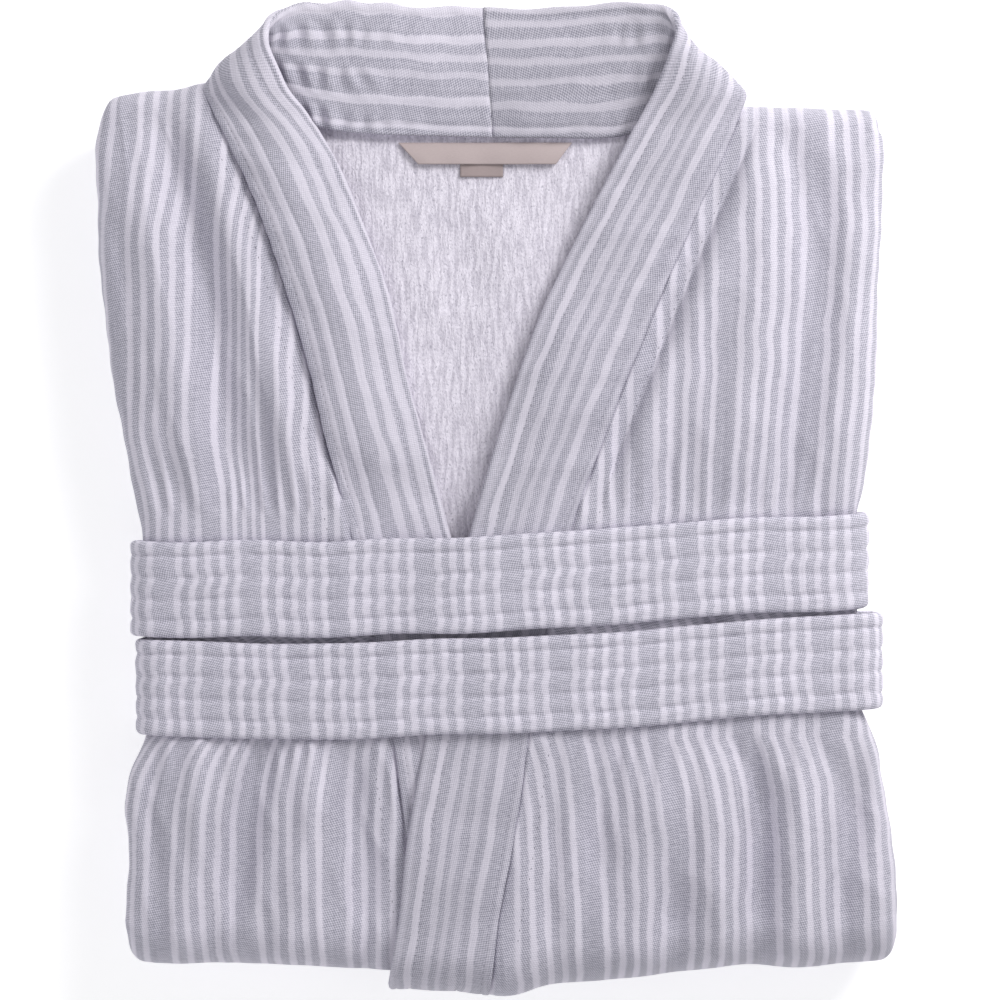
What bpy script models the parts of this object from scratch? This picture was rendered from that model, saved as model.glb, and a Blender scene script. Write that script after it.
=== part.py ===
"""A striped kimono bathrobe, folded flat for a hotel room, with its belt wound twice round the bundle.

The robe lies on its folded skirt with the neck towards +Y, so the fronts and the collar face up (+Z).
Its sides and sleeves are turned in behind the body, and the skirt is folded under at the -Y edge.
Left is -X and right is +X. The origin is on the resting plane, under the middle of the bundle.
Every layer of cloth is a plain sheet with a thickness, and touching layers keep a small gap.
"""

import math

import bmesh
import bpy
from mathutils import Vector

# Driving dimensions, in metres.
LAYER = 0.005             # a folded layer of terry-lined cloth
BAND = 0.0048             # the doubled, stitched collar band
BELT_CLOTH = 0.004        # the quilted belt
POCKET_CLOTH = 0.002      # a patch pocket
GAP = 0.0003              # between two layers that touch
SEAM_GAP = 0.0012         # between a band and the panel that it is sewn to
FOLD_EDGE_Y = -0.249      # the bottom fold, where the skirt turns under
REST_LIFT = 0.0066        # the belt and a pocket run under the bundle in this height
HEM_Y = 0.190             # the skirt's hem, under the neck

BELT_WIDTH = 0.047
BELT_LOWER_Y = -0.0915    # centre line of the belt's lower turn
BELT_UPPER_Y = -0.0435    # centre line of its upper turn
BELT_LEFT_X = -0.1822     # centre of the cloth at the bundle's left side
BELT_RIGHT_X = 0.1912
BELT_CORNER = 0.012       # radius of its centre line at the bundle's edges
BELT_END_X = 0.074        # how near the middle the two ends reach, under the bundle
BELT_SHIFT_X = 0.058      # half the length in which it crosses to its next turn

BACK_HALF_WIDTH = 0.156
NECK_SEAM_Y = 0.181       # where the back meets the collar
LEFT_SHOULDER_Y = 0.207   # where the fronts turn over the shoulders
RIGHT_SHOULDER_Y = 0.200
ROLL = 0.021              # how far in from a side edge the cloth starts to roll over
ROLL_KEEP = 0.55          # share of the bundle's half height that is left at that edge

# Radii of the three nested turns at the bottom fold, and the height of their common centre.
BACK_RADIUS = 0.0090
LEFT_RADIUS = BACK_RADIUS + LAYER + GAP
RIGHT_RADIUS = LEFT_RADIUS + LAYER + POCKET_CLOTH + 2 * GAP
FOLD_Z = REST_LIFT + LAYER / 2 + RIGHT_RADIUS
FOLD_Y = FOLD_EDGE_Y + RIGHT_RADIUS + LAYER / 2
CORE_HALF = BACK_RADIUS - LAYER / 2 - GAP   # half the room between the back panel's two runs

# Where an edge lies at each place along the bundle: (y, x), from the neck down to the fold.
LEFT_SIDE = [(0.207, -0.176), (0.190, -0.198), (0.150, -0.2002), (0.060, -0.1945),
             (-0.005, -0.1825), (-0.020, -0.1795), (-0.249, -0.1795)]
RIGHT_SIDE = [(0.200, 0.180), (0.186, 0.1935), (0.150, 0.1955), (0.040, 0.1905),
              (-0.015, 0.1885), (-0.249, 0.1885)]
LEFT_SEAM = [(0.210, -0.1475), (0.190, -0.138), (0.161, -0.1245), (0.101, -0.104), (0.023, -0.084),
             (-0.018, -0.0745), (-0.118, -0.0535), (-0.180, -0.045), (-0.249, -0.037)]
LEFT_FREE = [(0.190, -0.090), (0.141, -0.068), (0.101, -0.054), (0.051, -0.043),
             (-0.016, -0.0245), (-0.118, 0.0), (-0.249, 0.024)]
RIGHT_SEAM = [(0.206, 0.1265), (0.190, 0.120), (0.148, 0.102), (0.101, 0.082), (0.051, 0.062),
              (-0.016, 0.0385), (-0.117, 0.0175), (-0.201, 0.0025), (-0.249, -0.003)]
RIGHT_FREE = [(0.190, 0.070), (0.151, 0.0505), (0.101, 0.026), (0.031, 0.0005),
              (-0.016, -0.013), (-0.119, -0.035), (-0.211, -0.0485), (-0.249, -0.0545)]

# The collar lies flat on the chest up to CHEST_Y, where its free edge stands a little, and then
# goes round the neck. From the centre back to the chest: (seam point, free edge point).
CHEST_Y = 0.190
BAND_STANDS = 0.004
LEFT_NECK = [((-0.0024, 0.1835, 0.0462), (-0.0069, 0.2455, 0.0500)),
             ((-0.0450, 0.1842, 0.0462), (-0.0550, 0.2450, 0.0520)),
             ((-0.0830, 0.1900, 0.0468), (-0.0930, 0.2440, 0.0560)),
             ((-0.1080, 0.2060, 0.0462), (-0.1090, 0.2370, 0.0600)),
             ((-0.1300, 0.2180, 0.0455), (-0.1120, 0.2250, 0.0612)),
             ((-0.1450, 0.2100, 0.0453), (-0.1040, 0.2080, 0.0590))]
RIGHT_NECK = [((-0.0012, 0.1835, 0.0462), (-0.0057, 0.2455, 0.0500)),
              ((0.0300, 0.1835, 0.0462), (0.0350, 0.2440, 0.0520)),
              ((0.0600, 0.1860, 0.0468), (0.0660, 0.2440, 0.0560)),
              ((0.0860, 0.2010, 0.0472), (0.0810, 0.2400, 0.0605)),
              ((0.1080, 0.2140, 0.0490), (0.0830, 0.2260, 0.0618)),
              ((0.1240, 0.2060, 0.0520), (0.0780, 0.2080, 0.0600))]

# The neck label and its size tab.
LABEL_SEAM_Y = 0.1800
LABEL_Z = FOLD_Z + BACK_RADIUS + LAYER / 2 + 0.0012
LABEL_THICK = 0.0006
LABEL_OUTLINE = [(-0.049, 0.0), (0.038, 0.0), (0.030, -0.0115), (-0.039, -0.0115)]
TAB_OUTLINE = [(-0.018, 0.0), (0.0035, 0.0), (0.0035, -0.0175), (-0.018, -0.0175)]
TAB_DROP = 0.0009

# The hanger loop outside the back neck, hanging from the neck seam.
HANGER_HALF_WIDTH = 0.028
HANGER_LENGTH = 0.033
HANGER_ROUND = 0.6        # height of its round end, as a share of its half width
HANGER_RADIUS = 0.0013
HANGER_HINGE = (-0.002, 0.187, 0.0385)
HANGER_DROOP = math.radians(-70)

# The flat pieces that lie folded in with the bundle: how far they reach along x and y.
SLEEVE_NEAR_X = 0.004
SLEEVE_FAR_X = 0.152
SLEEVE_CUFF_Y = -0.160
SLEEVE_ARMHOLE_Y = 0.178
SLEEVE_ROUND = 0.005
POCKET_WIDTH = 0.142
LEFT_POCKET_X = -0.160
RIGHT_POCKET_X = 0.020
POCKET_LOW_Y = -0.188
POCKET_HIGH_Y = -0.016
LOOP_WIDTH = 0.008
LOOP_THICK = 0.003
LEFT_LOOP_X = -0.132
RIGHT_LOOP_X = 0.124
LOOP_LOW_Y = -0.221
LOOP_HIGH_Y = -0.167
CARE_LABEL_X = -0.100
CARE_LABEL_WIDTH = 0.032
CARE_LABEL_LOW_Y = -0.216
CARE_LABEL_HIGH_Y = -0.168
CARE_LABEL_THICK = 0.0008

# Colours, linear, for woven stripes, terry, label and tab.
STRIPE_CLOTH = (0.56, 0.54, 0.61, 1.0)
BAND_CLOTH = (0.52, 0.50, 0.57, 1.0)
BELT_COLOUR = (0.58, 0.56, 0.62, 1.0)
TERRY = (0.70, 0.67, 0.74, 1.0)
LABEL_COLOUR = (0.47, 0.39, 0.38, 1.0)
TAB_COLOUR = (0.40, 0.32, 0.31, 1.0)
CARE_LABEL_COLOUR = (0.85, 0.85, 0.85, 1.0)


def clear_scene():
    for old in list(bpy.data.objects):
        bpy.data.objects.remove(old)


def new_collection(name):
    collection = bpy.data.collections.new(name)
    bpy.context.scene.collection.children.link(collection)
    return collection


def new_material(name, colour, roughness=0.9):
    """Cloth in one colour: rough, and not metal."""
    material = bpy.data.materials.new(name)
    material.use_nodes = True
    shader = material.node_tree.nodes["Principled BSDF"]
    shader.inputs["Base Color"].default_value = colour
    shader.inputs["Roughness"].default_value = roughness
    shader.inputs["Metallic"].default_value = 0.0
    material.diffuse_color = colour
    return material


def smooth_step(t):
    t = min(1.0, max(0.0, t))
    return t * t * (3 - 2 * t)


def catmull(before, start, end, after, t):
    """A point of the smooth curve through start and end, at t from 0 to 1 between them."""
    return 0.5 * (2 * start + (end - before) * t
                  + (2 * before - 5 * start + 4 * end - after) * t ** 2
                  + (3 * start - 3 * end + after - before) * t ** 3)


def edge_x(table, y):
    """x on a smooth edge given as (y, x) pairs, which run towards -Y."""
    y = min(table[0][0], max(table[-1][0], y))
    i = 0
    while i < len(table) - 2 and y < table[i + 1][0]:
        i += 1
    t = (table[i][0] - y) / (table[i][0] - table[i + 1][0])
    before = table[max(i - 1, 0)][1]
    after = table[min(i + 2, len(table) - 1)][1]
    return catmull(before, table[i][1], table[i + 1][1], after, t)


def under_edge_x(table, y):
    """The same edge below the bottom fold: it runs on in its own direction, seen in the fold's mirror."""
    top_end = table[-1][1]
    slope = (table[-2][1] - table[-1][1]) / (table[-2][0] - table[-1][0])
    return top_end - slope * (y - FOLD_EDGE_Y)


def make_object(name, mesh, collection, material):
    new = bpy.data.objects.new(name, mesh)
    collection.objects.link(new)
    mesh.materials.append(material)
    return new


def sheet(name, rows, thickness, collection, material):
    """A sheet of cloth: a grid whose rows are lists of points across it, thickened evenly."""
    across = len(rows[0]) - 1
    along = len(rows) - 1
    grid = bmesh.new()
    bmesh.ops.create_grid(grid, x_segments=across, y_segments=along, size=0.5)
    for vertex in grid.verts:
        column = round((vertex.co.x + 0.5) * across)
        row = round((vertex.co.y + 0.5) * along)
        vertex.co = rows[row][column]
    mesh = bpy.data.meshes.new(name)
    grid.to_mesh(mesh)
    grid.free()
    new = make_object(name, mesh, collection, material)
    solidify = new.modifiers.new("thickness", "SOLIDIFY")
    solidify.thickness = thickness
    solidify.offset = 0.0
    solidify.use_even_offset = True
    return new


def fold_path(radius, start_y, end_y):
    """A layer's way along the bundle: (y, z, under or not), down the top, round the fold and back under."""
    top = [start_y + (FOLD_Y - start_y) * (i / 14) ** 1.5 for i in range(15)]
    path = [(y, FOLD_Z + radius, False) for y in top]
    for i in range(1, 9):
        turn = math.pi * i / 9
        path.append((FOLD_Y - radius * math.sin(turn), FOLD_Z + radius * math.cos(turn), turn > math.pi / 2))
    bottom = [FOLD_Y + (end_y - FOLD_Y) * i / 14 for i in range(15)]
    path += [(y, FOLD_Z - radius, True) for y in bottom]
    return path


def sag(y):
    """How far the underside comes down to the resting plane, beyond the belt."""
    return REST_LIFT * smooth_step((y + 0.014) / 0.045)


def shoulder_drop(y, under):
    """Share of its height that a top layer keeps where it turns over the shoulder."""
    return 1.0 if under else 1.0 - 0.45 * smooth_step((y - 0.183) / 0.024) ** 1.5


def roll_share(distance):
    """Share of its height that a layer keeps at this distance in from its rolled side edge."""
    if distance >= ROLL:
        return 1.0
    lean = 1.0 - distance / ROLL
    return ROLL_KEEP + (1.0 - ROLL_KEEP) * math.sqrt(1.0 - lean * lean)


def panel_rows(radius, start_y, inner, outer, columns=8):
    """Rows of a front panel, from its seam with the collar band to its rolled side edge."""
    rows = []
    for y, z, under in fold_path(radius, start_y, HEM_Y):
        if under:
            inner_x, outer_x = under_edge_x(inner, y), edge_x(outer, y)
        else:
            inner_x, outer_x = edge_x(inner, y), edge_x(outer, y)
        outward = 1.0 if outer_x > inner_x else -1.0
        inner_x += outward * SEAM_GAP
        outer_x -= outward * LAYER / 2
        roll_start = outer_x - outward * ROLL
        flat = [inner_x + (roll_start - inner_x) * i / 3 for i in range(4)]
        rolled = [roll_start + outward * ROLL * math.sin(math.pi / 2 * i / (columns - 3))
                  for i in range(1, columns - 2)]
        row = []
        for x in flat + rolled:
            share = roll_share(abs(outer_x - x)) * shoulder_drop(y, under)
            height = FOLD_Z + (z - FOLD_Z) * share - (sag(y) if under else 0.0)
            depth = FOLD_Y + (y - FOLD_Y) * share if y < FOLD_Y else y
            row.append(Vector((x, depth, height)))
        rows.append(row)
    return rows


def band_rows(neck, radius, seam, free, columns=3):
    """Rows of half the collar band: from the centre back, round the neck, down the chest and under."""
    rows = []
    steps = 5
    chest_z = FOLD_Z + radius
    chest = (Vector((edge_x(seam, CHEST_Y), CHEST_Y, chest_z)),
             Vector((edge_x(free, CHEST_Y), CHEST_Y, chest_z + BAND_STANDS)))
    pairs = [(Vector(a), Vector(b)) for a, b in neck] + [chest]
    for i in range(len(pairs) - 1):
        around = [pairs[max(i - 1, 0)], pairs[i], pairs[i + 1], pairs[min(i + 2, len(pairs) - 1)]]
        for step in range(steps):
            seam_point = catmull(*[pair[0] for pair in around], step / steps)
            free_point = catmull(*[pair[1] for pair in around], step / steps)
            rows.append([seam_point.lerp(free_point, c / columns) for c in range(columns + 1)])
    for y, z, under in fold_path(radius, CHEST_Y, HEM_Y):
        edges = under_edge_x if under else edge_x
        settle = 0.0 if under else BAND_STANDS * smooth_step((y - 0.12) / (CHEST_Y - 0.12))
        seam_point = Vector((edges(seam, y), y, z - (sag(y) if under else 0.0)))
        free_point = Vector((edges(free, y), y, seam_point.z + settle))
        rows.append([seam_point.lerp(free_point, c / columns) for c in range(columns + 1)])
    return rows


def fronts(parts):
    material = new_material("striped_front", STRIPE_CLOTH)
    left = panel_rows(LEFT_RADIUS, LEFT_SHOULDER_Y, LEFT_SEAM, LEFT_SIDE)
    sheet("left_front", left, LAYER, parts, material)
    right = panel_rows(RIGHT_RADIUS, RIGHT_SHOULDER_Y, RIGHT_SEAM, RIGHT_SIDE)
    sheet("right_front", right, LAYER, parts, material.copy())


def collar(parts):
    material = new_material("striped_band", BAND_CLOTH)
    left = band_rows(LEFT_NECK, LEFT_RADIUS, LEFT_SEAM, LEFT_FREE)
    sheet("left_collar_band", left, BAND, parts, material)
    right = band_rows(RIGHT_NECK, RIGHT_RADIUS, RIGHT_SEAM, RIGHT_FREE)
    sheet("right_collar_band", right, BAND, parts, material.copy())


def back_panel(parts):
    """The back, from the neck seam round the bottom fold to the hem, with its terry side up."""
    rows = []
    for y, z, under in fold_path(BACK_RADIUS, NECK_SEAM_Y, HEM_Y):
        height = z - (sag(y) if under else 0.0)
        rows.append([Vector((BACK_HALF_WIDTH * (c / 2 - 1), y, height)) for c in range(5)])
    sheet("back_panel", rows, LAYER, parts, new_material("terry_back", TERRY))


def rounded_slab(name, low, high, radius, collection, material, bevel_segments=2):
    """A flat box with rounded edges."""
    low, high = Vector(low), Vector(high)
    box = bmesh.new()
    bmesh.ops.create_cube(box, size=1.0)
    bmesh.ops.scale(box, vec=high - low, verts=box.verts)
    bmesh.ops.translate(box, vec=(low + high) / 2, verts=box.verts)
    mesh = bpy.data.meshes.new(name)
    box.to_mesh(mesh)
    box.free()
    new = make_object(name, mesh, collection, material)
    bevel = new.modifiers.new("rounded", "BEVEL")
    bevel.width = radius
    bevel.segments = bevel_segments
    return new


def sleeves(parts):
    """The two sleeves, folded down behind the back in the bundle's core."""
    material = new_material("striped_sleeve", STRIPE_CLOTH)
    for name, side in (("left_sleeve", -1), ("right_sleeve", 1)):
        near, far = SLEEVE_NEAR_X * side, SLEEVE_FAR_X * side
        rounded_slab(name, (min(near, far), SLEEVE_CUFF_Y, FOLD_Z - CORE_HALF),
                     (max(near, far), SLEEVE_ARMHOLE_Y, FOLD_Z + CORE_HALF),
                     SLEEVE_ROUND, parts, material.copy())


def pockets(parts):
    """A patch pocket on each front of the skirt, below the bottom fold and so under the bundle."""
    material = new_material("striped_pocket", STRIPE_CLOTH)
    for name, radius, low_x in (("left_pocket", LEFT_RADIUS, LEFT_POCKET_X),
                                ("right_pocket", RIGHT_RADIUS, RIGHT_POCKET_X)):
        top = FOLD_Z - radius - LAYER / 2 - GAP
        rounded_slab(name, (low_x, POCKET_LOW_Y, top - POCKET_CLOTH),
                     (low_x + POCKET_WIDTH, POCKET_HIGH_Y, top), 0.0007, parts, material.copy(), 1)


def belt_loops(parts):
    """The loops that hold the belt at the waist, pressed flat between the folded sides."""
    material = new_material("striped_loop", BAND_CLOTH)
    low = FOLD_Z + 0.0010
    for name, x in (("left_belt_loop", LEFT_LOOP_X), ("right_belt_loop", RIGHT_LOOP_X)):
        rounded_slab(name, (x, LOOP_LOW_Y, low), (x + LOOP_WIDTH, LOOP_HIGH_Y, low + LOOP_THICK),
                     0.0008, parts, material.copy(), 1)


def care_label(parts):
    """A blank woven strip in the side seam, between the folded sides."""
    material = new_material("woven_care_label", CARE_LABEL_COLOUR, 0.7)
    low = FOLD_Z + 0.0016
    rounded_slab("care_label", (CARE_LABEL_X, CARE_LABEL_LOW_Y, low),
                 (CARE_LABEL_X + CARE_LABEL_WIDTH, CARE_LABEL_HIGH_Y, low + CARE_LABEL_THICK),
                 0.0002, parts, material, 1)


def belt_corner(centre_x, centre_z, start_turn, steps=4):
    """Points (x, z) of one rounded corner, clockwise when seen towards +Y."""
    points = []
    for i in range(steps + 1):
        turn = start_turn - math.pi / 2 * i / steps
        points.append((centre_x + BELT_CORNER * math.cos(turn), centre_z + BELT_CORNER * math.sin(turn)))
    return points


def belt_over():
    """The belt's way up the left side, over the top and down the right side, as (x, z)."""
    low = BELT_CLOTH / 2
    high = FOLD_Z + RIGHT_RADIUS + LAYER / 2 + GAP + BELT_CLOTH / 2
    left, right = BELT_LEFT_X + BELT_CORNER, BELT_RIGHT_X - BELT_CORNER
    up_left = belt_corner(left, low + BELT_CORNER, -math.pi / 2)
    over_left = belt_corner(left, high - BELT_CORNER, math.pi)
    over_right = belt_corner(right, high - BELT_CORNER, math.pi / 2)
    down_right = belt_corner(right, low + BELT_CORNER, 0.0)
    return up_left + over_left + over_right + down_right


def belt(parts):
    """One long belt: an end under the bundle, two turns round it, and the other end under it."""
    low = BELT_CLOTH / 2
    path = [(-BELT_END_X, low, BELT_LOWER_Y), (-0.120, low, BELT_LOWER_Y)]
    path += [(x, z, BELT_LOWER_Y) for x, z in belt_over()]
    for i in range(13):
        share = i / 12
        x = BELT_SHIFT_X * (1 - 2 * share)
        path.append((x, low, BELT_LOWER_Y + (BELT_UPPER_Y - BELT_LOWER_Y) * smooth_step(share)))
    path += [(x, z, BELT_UPPER_Y) for x, z in belt_over()]
    path += [(0.120, low, BELT_UPPER_Y), (BELT_END_X, low, BELT_UPPER_Y)]
    half = BELT_WIDTH / 2
    rows = [[Vector((x, y - half, z)), Vector((x, y + half, z))] for x, z, y in path]
    sheet("belt", rows, BELT_CLOTH, parts, new_material("striped_belt", BELT_COLOUR))


def flat_outline(name, outline, thickness, place, collection, material):
    """A flat piece of webbing: a filled 2D outline, drawn from its hinge line."""
    curve = bpy.data.curves.new(name, "CURVE")
    curve.dimensions = "2D"
    curve.fill_mode = "BOTH"
    curve.extrude = thickness / 2
    spline = curve.splines.new("POLY")
    spline.points.add(len(outline) - 1)
    for point, (x, y) in zip(spline.points, outline):
        point.co = (x, y, 0.0, 1.0)
    spline.use_cyclic_u = True
    new = make_object(name, curve, collection, material)
    new.location = place
    return new


def neck_label(parts):
    """A blank label sewn into the neck seam, and the small tab that shows below it."""
    place = Vector((0.0, LABEL_SEAM_Y, LABEL_Z))
    flat_outline("neck_label", LABEL_OUTLINE, LABEL_THICK, place, parts,
                 new_material("woven_label", LABEL_COLOUR, 0.6))
    flat_outline("size_tab", TAB_OUTLINE, LABEL_THICK / 2, place - Vector((0.0, 0.0, TAB_DROP)), parts,
                 new_material("woven_tab", TAB_COLOUR, 0.6))


def hanger_loop(parts):
    """A narrow tube of cloth, bent to a loop and sewn at both ends outside the back neck."""
    curve = bpy.data.curves.new("hanger_loop", "CURVE")
    curve.dimensions = "3D"
    curve.bevel_depth = HANGER_RADIUS
    curve.bevel_resolution = 2
    curve.use_fill_caps = True
    end_height = HANGER_HALF_WIDTH * HANGER_ROUND
    straight = HANGER_LENGTH - end_height
    points = [(-HANGER_HALF_WIDTH, 0.0)]
    for i in range(13):
        turn = math.pi * (1 - i / 12)
        points.append((HANGER_HALF_WIDTH * math.cos(turn), straight + end_height * math.sin(turn)))
    points.append((HANGER_HALF_WIDTH, 0.0))
    spline = curve.splines.new("POLY")
    spline.points.add(len(points) - 1)
    for point, (x, y) in zip(spline.points, points):
        point.co = (x, y, 0.0, 1.0)
    new = make_object("hanger_loop", curve, parts, new_material("striped_hanger", BAND_CLOTH))
    new.location = HANGER_HINGE
    new.rotation_euler = (HANGER_DROOP, 0.0, 0.0)


def build():
    clear_scene()
    parts = new_collection("bathrobe")
    fronts(parts)
    collar(parts)
    back_panel(parts)
    sleeves(parts)
    pockets(parts)
    belt_loops(parts)
    care_label(parts)
    belt(parts)
    neck_label(parts)
    hanger_loop(parts)


build()
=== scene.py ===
"""Looks of a striped kimono bathrobe, folded flat, with its belt wound twice round the bundle.

Everything is in metres. The neck is towards +Y and the fronts face up (+Z). Each piece of cloth is made
as two grids of points, its outer and its inner face, that follow the way the real cloth is folded.
"""

import math

import bpy
import numpy as np
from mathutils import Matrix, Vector


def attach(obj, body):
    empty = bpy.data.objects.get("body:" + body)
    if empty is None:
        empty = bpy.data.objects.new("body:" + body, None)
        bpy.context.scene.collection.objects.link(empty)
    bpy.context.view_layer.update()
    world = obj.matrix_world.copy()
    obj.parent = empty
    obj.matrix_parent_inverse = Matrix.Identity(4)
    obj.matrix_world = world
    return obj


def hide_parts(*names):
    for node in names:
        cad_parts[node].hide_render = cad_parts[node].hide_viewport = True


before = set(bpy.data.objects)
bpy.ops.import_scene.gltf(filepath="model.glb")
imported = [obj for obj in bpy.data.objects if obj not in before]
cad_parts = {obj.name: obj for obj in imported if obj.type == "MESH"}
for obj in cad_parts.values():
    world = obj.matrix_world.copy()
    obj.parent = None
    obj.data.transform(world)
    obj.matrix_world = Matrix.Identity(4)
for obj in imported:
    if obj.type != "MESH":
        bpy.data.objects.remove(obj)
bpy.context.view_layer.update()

# The bottom fold and the hem, as in the CAD model.
FOLD_Z = 0.0310
HEM_Y = 0.190
CHEST_Y = 0.190

# Heights of the cloth's outer face where the belt presses on it: (x, z).
BELT_SEAT = [(-0.200, 0.0470), (-0.150, 0.0492), (-0.090, 0.0505), (-0.050, 0.0525), (-0.015, 0.0548),
             (0.030, 0.0556), (0.120, 0.0553), (0.170, 0.0545), (0.200, 0.0530)]
BELT_THICK = 0.0046
BELT_WIDTH = 0.0480
BELT_TOP_EDGE = -0.006
BELT_LOW_EDGE = -0.116
# How far the fronts stay below the belt, how softly they rise beside it, and how far the middle of a collar
# band's cloth lies below it. The belt's own underside stays UNDER_GAP above the ground.
BELT_CLEARANCE = 0.0014
BESIDE_BELT = 0.0015
BAND_BELOW_BELT = 0.0041
UNDER_GAP = 0.0005

# The fronts' cloth: its thickness, what its hem adds, and how wide it turns at the shoulders and the bottom.
CLOTH_THICK = 0.0026
HEM_ADDS = 0.0022
HEM_START = HEM_Y - 0.024
SHOULDER_ROUND = 0.0115
FOLD_DEPTH = 0.0220

# The collar band. Its first rows of points, NECK_ROWS of them, go round the neck.
BAND_WIDTH = 0.062
BAND_THICK = 0.0052
BAND_FOLD_DEPTH = 0.0195
BAND_FOLD_START = -0.228
BAND_HEM_Y = HEM_Y + 0.0008
NECK_ROWS = 119
# Rows of sewing along the band, as distances from its seam.
BAND_SEWING = [0.0055, 0.0200, 0.0485, 0.0570]

# Columns of points across a front: at its seam, beside it, over its flat part, round its side and on the edge
# tucked in behind, which is TUCKED_TAIL wide. SEWN_ROWS are the rows that the seam's thread shows on.
SEAM_COLUMNS = 17
CREASE_COLUMNS = 9
FLAT_COLUMNS = 72
ROLL_COLUMNS = 16
TAIL_COLUMNS = 6
TUCKED_TAIL = 0.018
SEWN_ROWS = slice(27, 184)

# Where edges lie along the bundle: (y, x).
LEFT_EDGE = [(0.207, -0.1965), (0.190, -0.2003), (0.150, -0.2007), (0.090, -0.1965), (0.041, -0.189),
             (0.006, -0.1825), (-0.009, -0.1790), (-0.045, -0.1780), (-0.090, -0.1752), (-0.117, -0.1762),
             (-0.134, -0.183), (-0.152, -0.1868), (-0.175, -0.1852), (-0.209, -0.1860), (-0.233, -0.1850)]
RIGHT_EDGE = [(0.200, 0.190), (0.188, 0.1935), (0.160, 0.1940), (0.126, 0.1925), (0.076, 0.1910),
              (0.036, 0.1885), (0.010, 0.1848), (-0.005, 0.1815), (-0.050, 0.1812), (-0.105, 0.1835),
              (-0.122, 0.1905), (-0.139, 0.1935), (-0.164, 0.1980), (-0.184, 0.2000), (-0.235, 0.2010)]
LEFT_SEAM = [(0.210, -0.1475), (0.190, -0.138), (0.161, -0.1245), (0.131, -0.113), (0.101, -0.104),
             (0.073, -0.096), (0.023, -0.084), (-0.018, -0.0745), (-0.118, -0.0535), (-0.180, -0.045),
             (-0.249, -0.037)]
LEFT_FREE = [(0.206, -0.1030), (0.186, -0.088), (0.141, -0.068), (0.101, -0.054), (0.051, -0.043),
             (0.001, -0.029), (-0.016, -0.0245), (-0.118, 0.0), (-0.249, 0.024)]
RIGHT_SEAM = [(0.206, 0.1265), (0.190, 0.120), (0.171, 0.112), (0.148, 0.102), (0.101, 0.082),
              (0.051, 0.062), (-0.016, 0.0385), (-0.117, 0.0175), (-0.177, 0.0075), (-0.201, 0.0025),
              (-0.249, -0.003)]
RIGHT_FREE = [(0.206, 0.077), (0.188, 0.0695), (0.151, 0.0505), (0.101, 0.026), (0.066, 0.012),
              (0.031, 0.0005), (-0.016, -0.013), (-0.119, -0.035), (-0.173, -0.0445), (-0.211, -0.0485),
              (-0.249, -0.0545)]
# How far up the shoulders and how far down the bottom fold reach: (x, y).
LEFT_SHOULDER = [(-0.205, 0.2010), (-0.198, 0.2022), (-0.1905, 0.2040), (-0.1755, 0.2066),
                 (-0.158, 0.2080), (-0.1480, 0.2105), (-0.120, 0.2110)]
RIGHT_SHOULDER = [(0.100, 0.199), (0.139, 0.198), (0.152, 0.1975), (0.167, 0.1965), (0.189, 0.1955),
                  (0.196, 0.193)]
LEFT_BOTTOM = [(-0.200, -0.2305), (-0.184, -0.2325), (-0.173, -0.2335), (-0.138, -0.2335),
               (-0.098, -0.2345), (-0.054, -0.237), (0.030, -0.2395)]
RIGHT_BOTTOM = [(-0.060, -0.2465), (-0.023, -0.247), (0.012, -0.249), (0.022, -0.2455), (0.052, -0.242),
                (0.082, -0.239), (0.102, -0.2365), (0.117, -0.2345), (0.152, -0.235), (0.200, -0.2315)]


# ---------------------------------------------------------------- curves and heights

def step(low, high, at):
    """0 before low, 1 after high, and smooth between them."""
    t = np.clip((at - low) / (high - low), 0.0, 1.0)
    return t * t * (3 - 2 * t)


def curve_at(pairs, at):
    """Values on the smooth curve through (place, value, ...) pairs."""
    table = np.array(sorted(pairs), float)
    place, value = table[:, 0], table[:, 1:]
    slope = np.gradient(value, place, axis=0)
    at = np.clip(np.asarray(at, float), place[0], place[-1])
    i = np.clip(np.searchsorted(place, at, side="right") - 1, 0, len(place) - 2)
    span = (place[i + 1] - place[i])[..., None]
    t = (at - place[i])[..., None] / span
    found = ((2 * t ** 3 - 3 * t ** 2 + 1) * value[i] + (t ** 3 - 2 * t ** 2 + t) * span * slope[i]
             + (3 * t ** 2 - 2 * t ** 3) * value[i + 1] + (t ** 3 - t ** 2) * span * slope[i + 1])
    return found[..., 0] if found.shape[-1] == 1 else found


def distances(line):
    """Distance from its first point along a line of points."""
    return np.concatenate([[0.0], np.cumsum(np.linalg.norm(np.diff(line, axis=0), axis=1))])


def unit(vectors):
    """Vectors of length 1 in the same directions."""
    return vectors / np.maximum(np.linalg.norm(vectors, axis=-1, keepdims=True), 1e-12)


def line_reach(line, y, fade):
    """1 between the ends of a line of (y, x) points, fading to 0 beyond them."""
    ends = [p[0] for p in line]
    return step(min(ends) - fade, min(ends) + fade, y) * (1 - step(max(ends) - fade, max(ends) + fade, y))


def under_edge_x(pairs, y):
    """An edge's x under the bundle, where the edge runs on in the direction it had at the bottom fold."""
    end, before = pairs[-1], pairs[-2]
    slope = (before[1] - end[1]) / (before[0] - end[0])
    return end[1] - slope * (y - end[0])


def fold_ridge(x, y, line, width, height, fade=0.025):
    """A soft ridge, or a valley where height is negative, along a line of (y, x) points."""
    away = (x - curve_at(line, y)) / width
    return height * np.exp(-away * away) * line_reach(line, y, fade)


def crease(x, y, line, width, height, fade=0.020):
    """A sharp line in the cloth, which slopes away from it on both sides."""
    away = np.sqrt(((x - curve_at(line, y)) / width) ** 2 + 0.06) - 0.245
    return height * np.exp(-away) * line_reach(line, y, fade)


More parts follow.
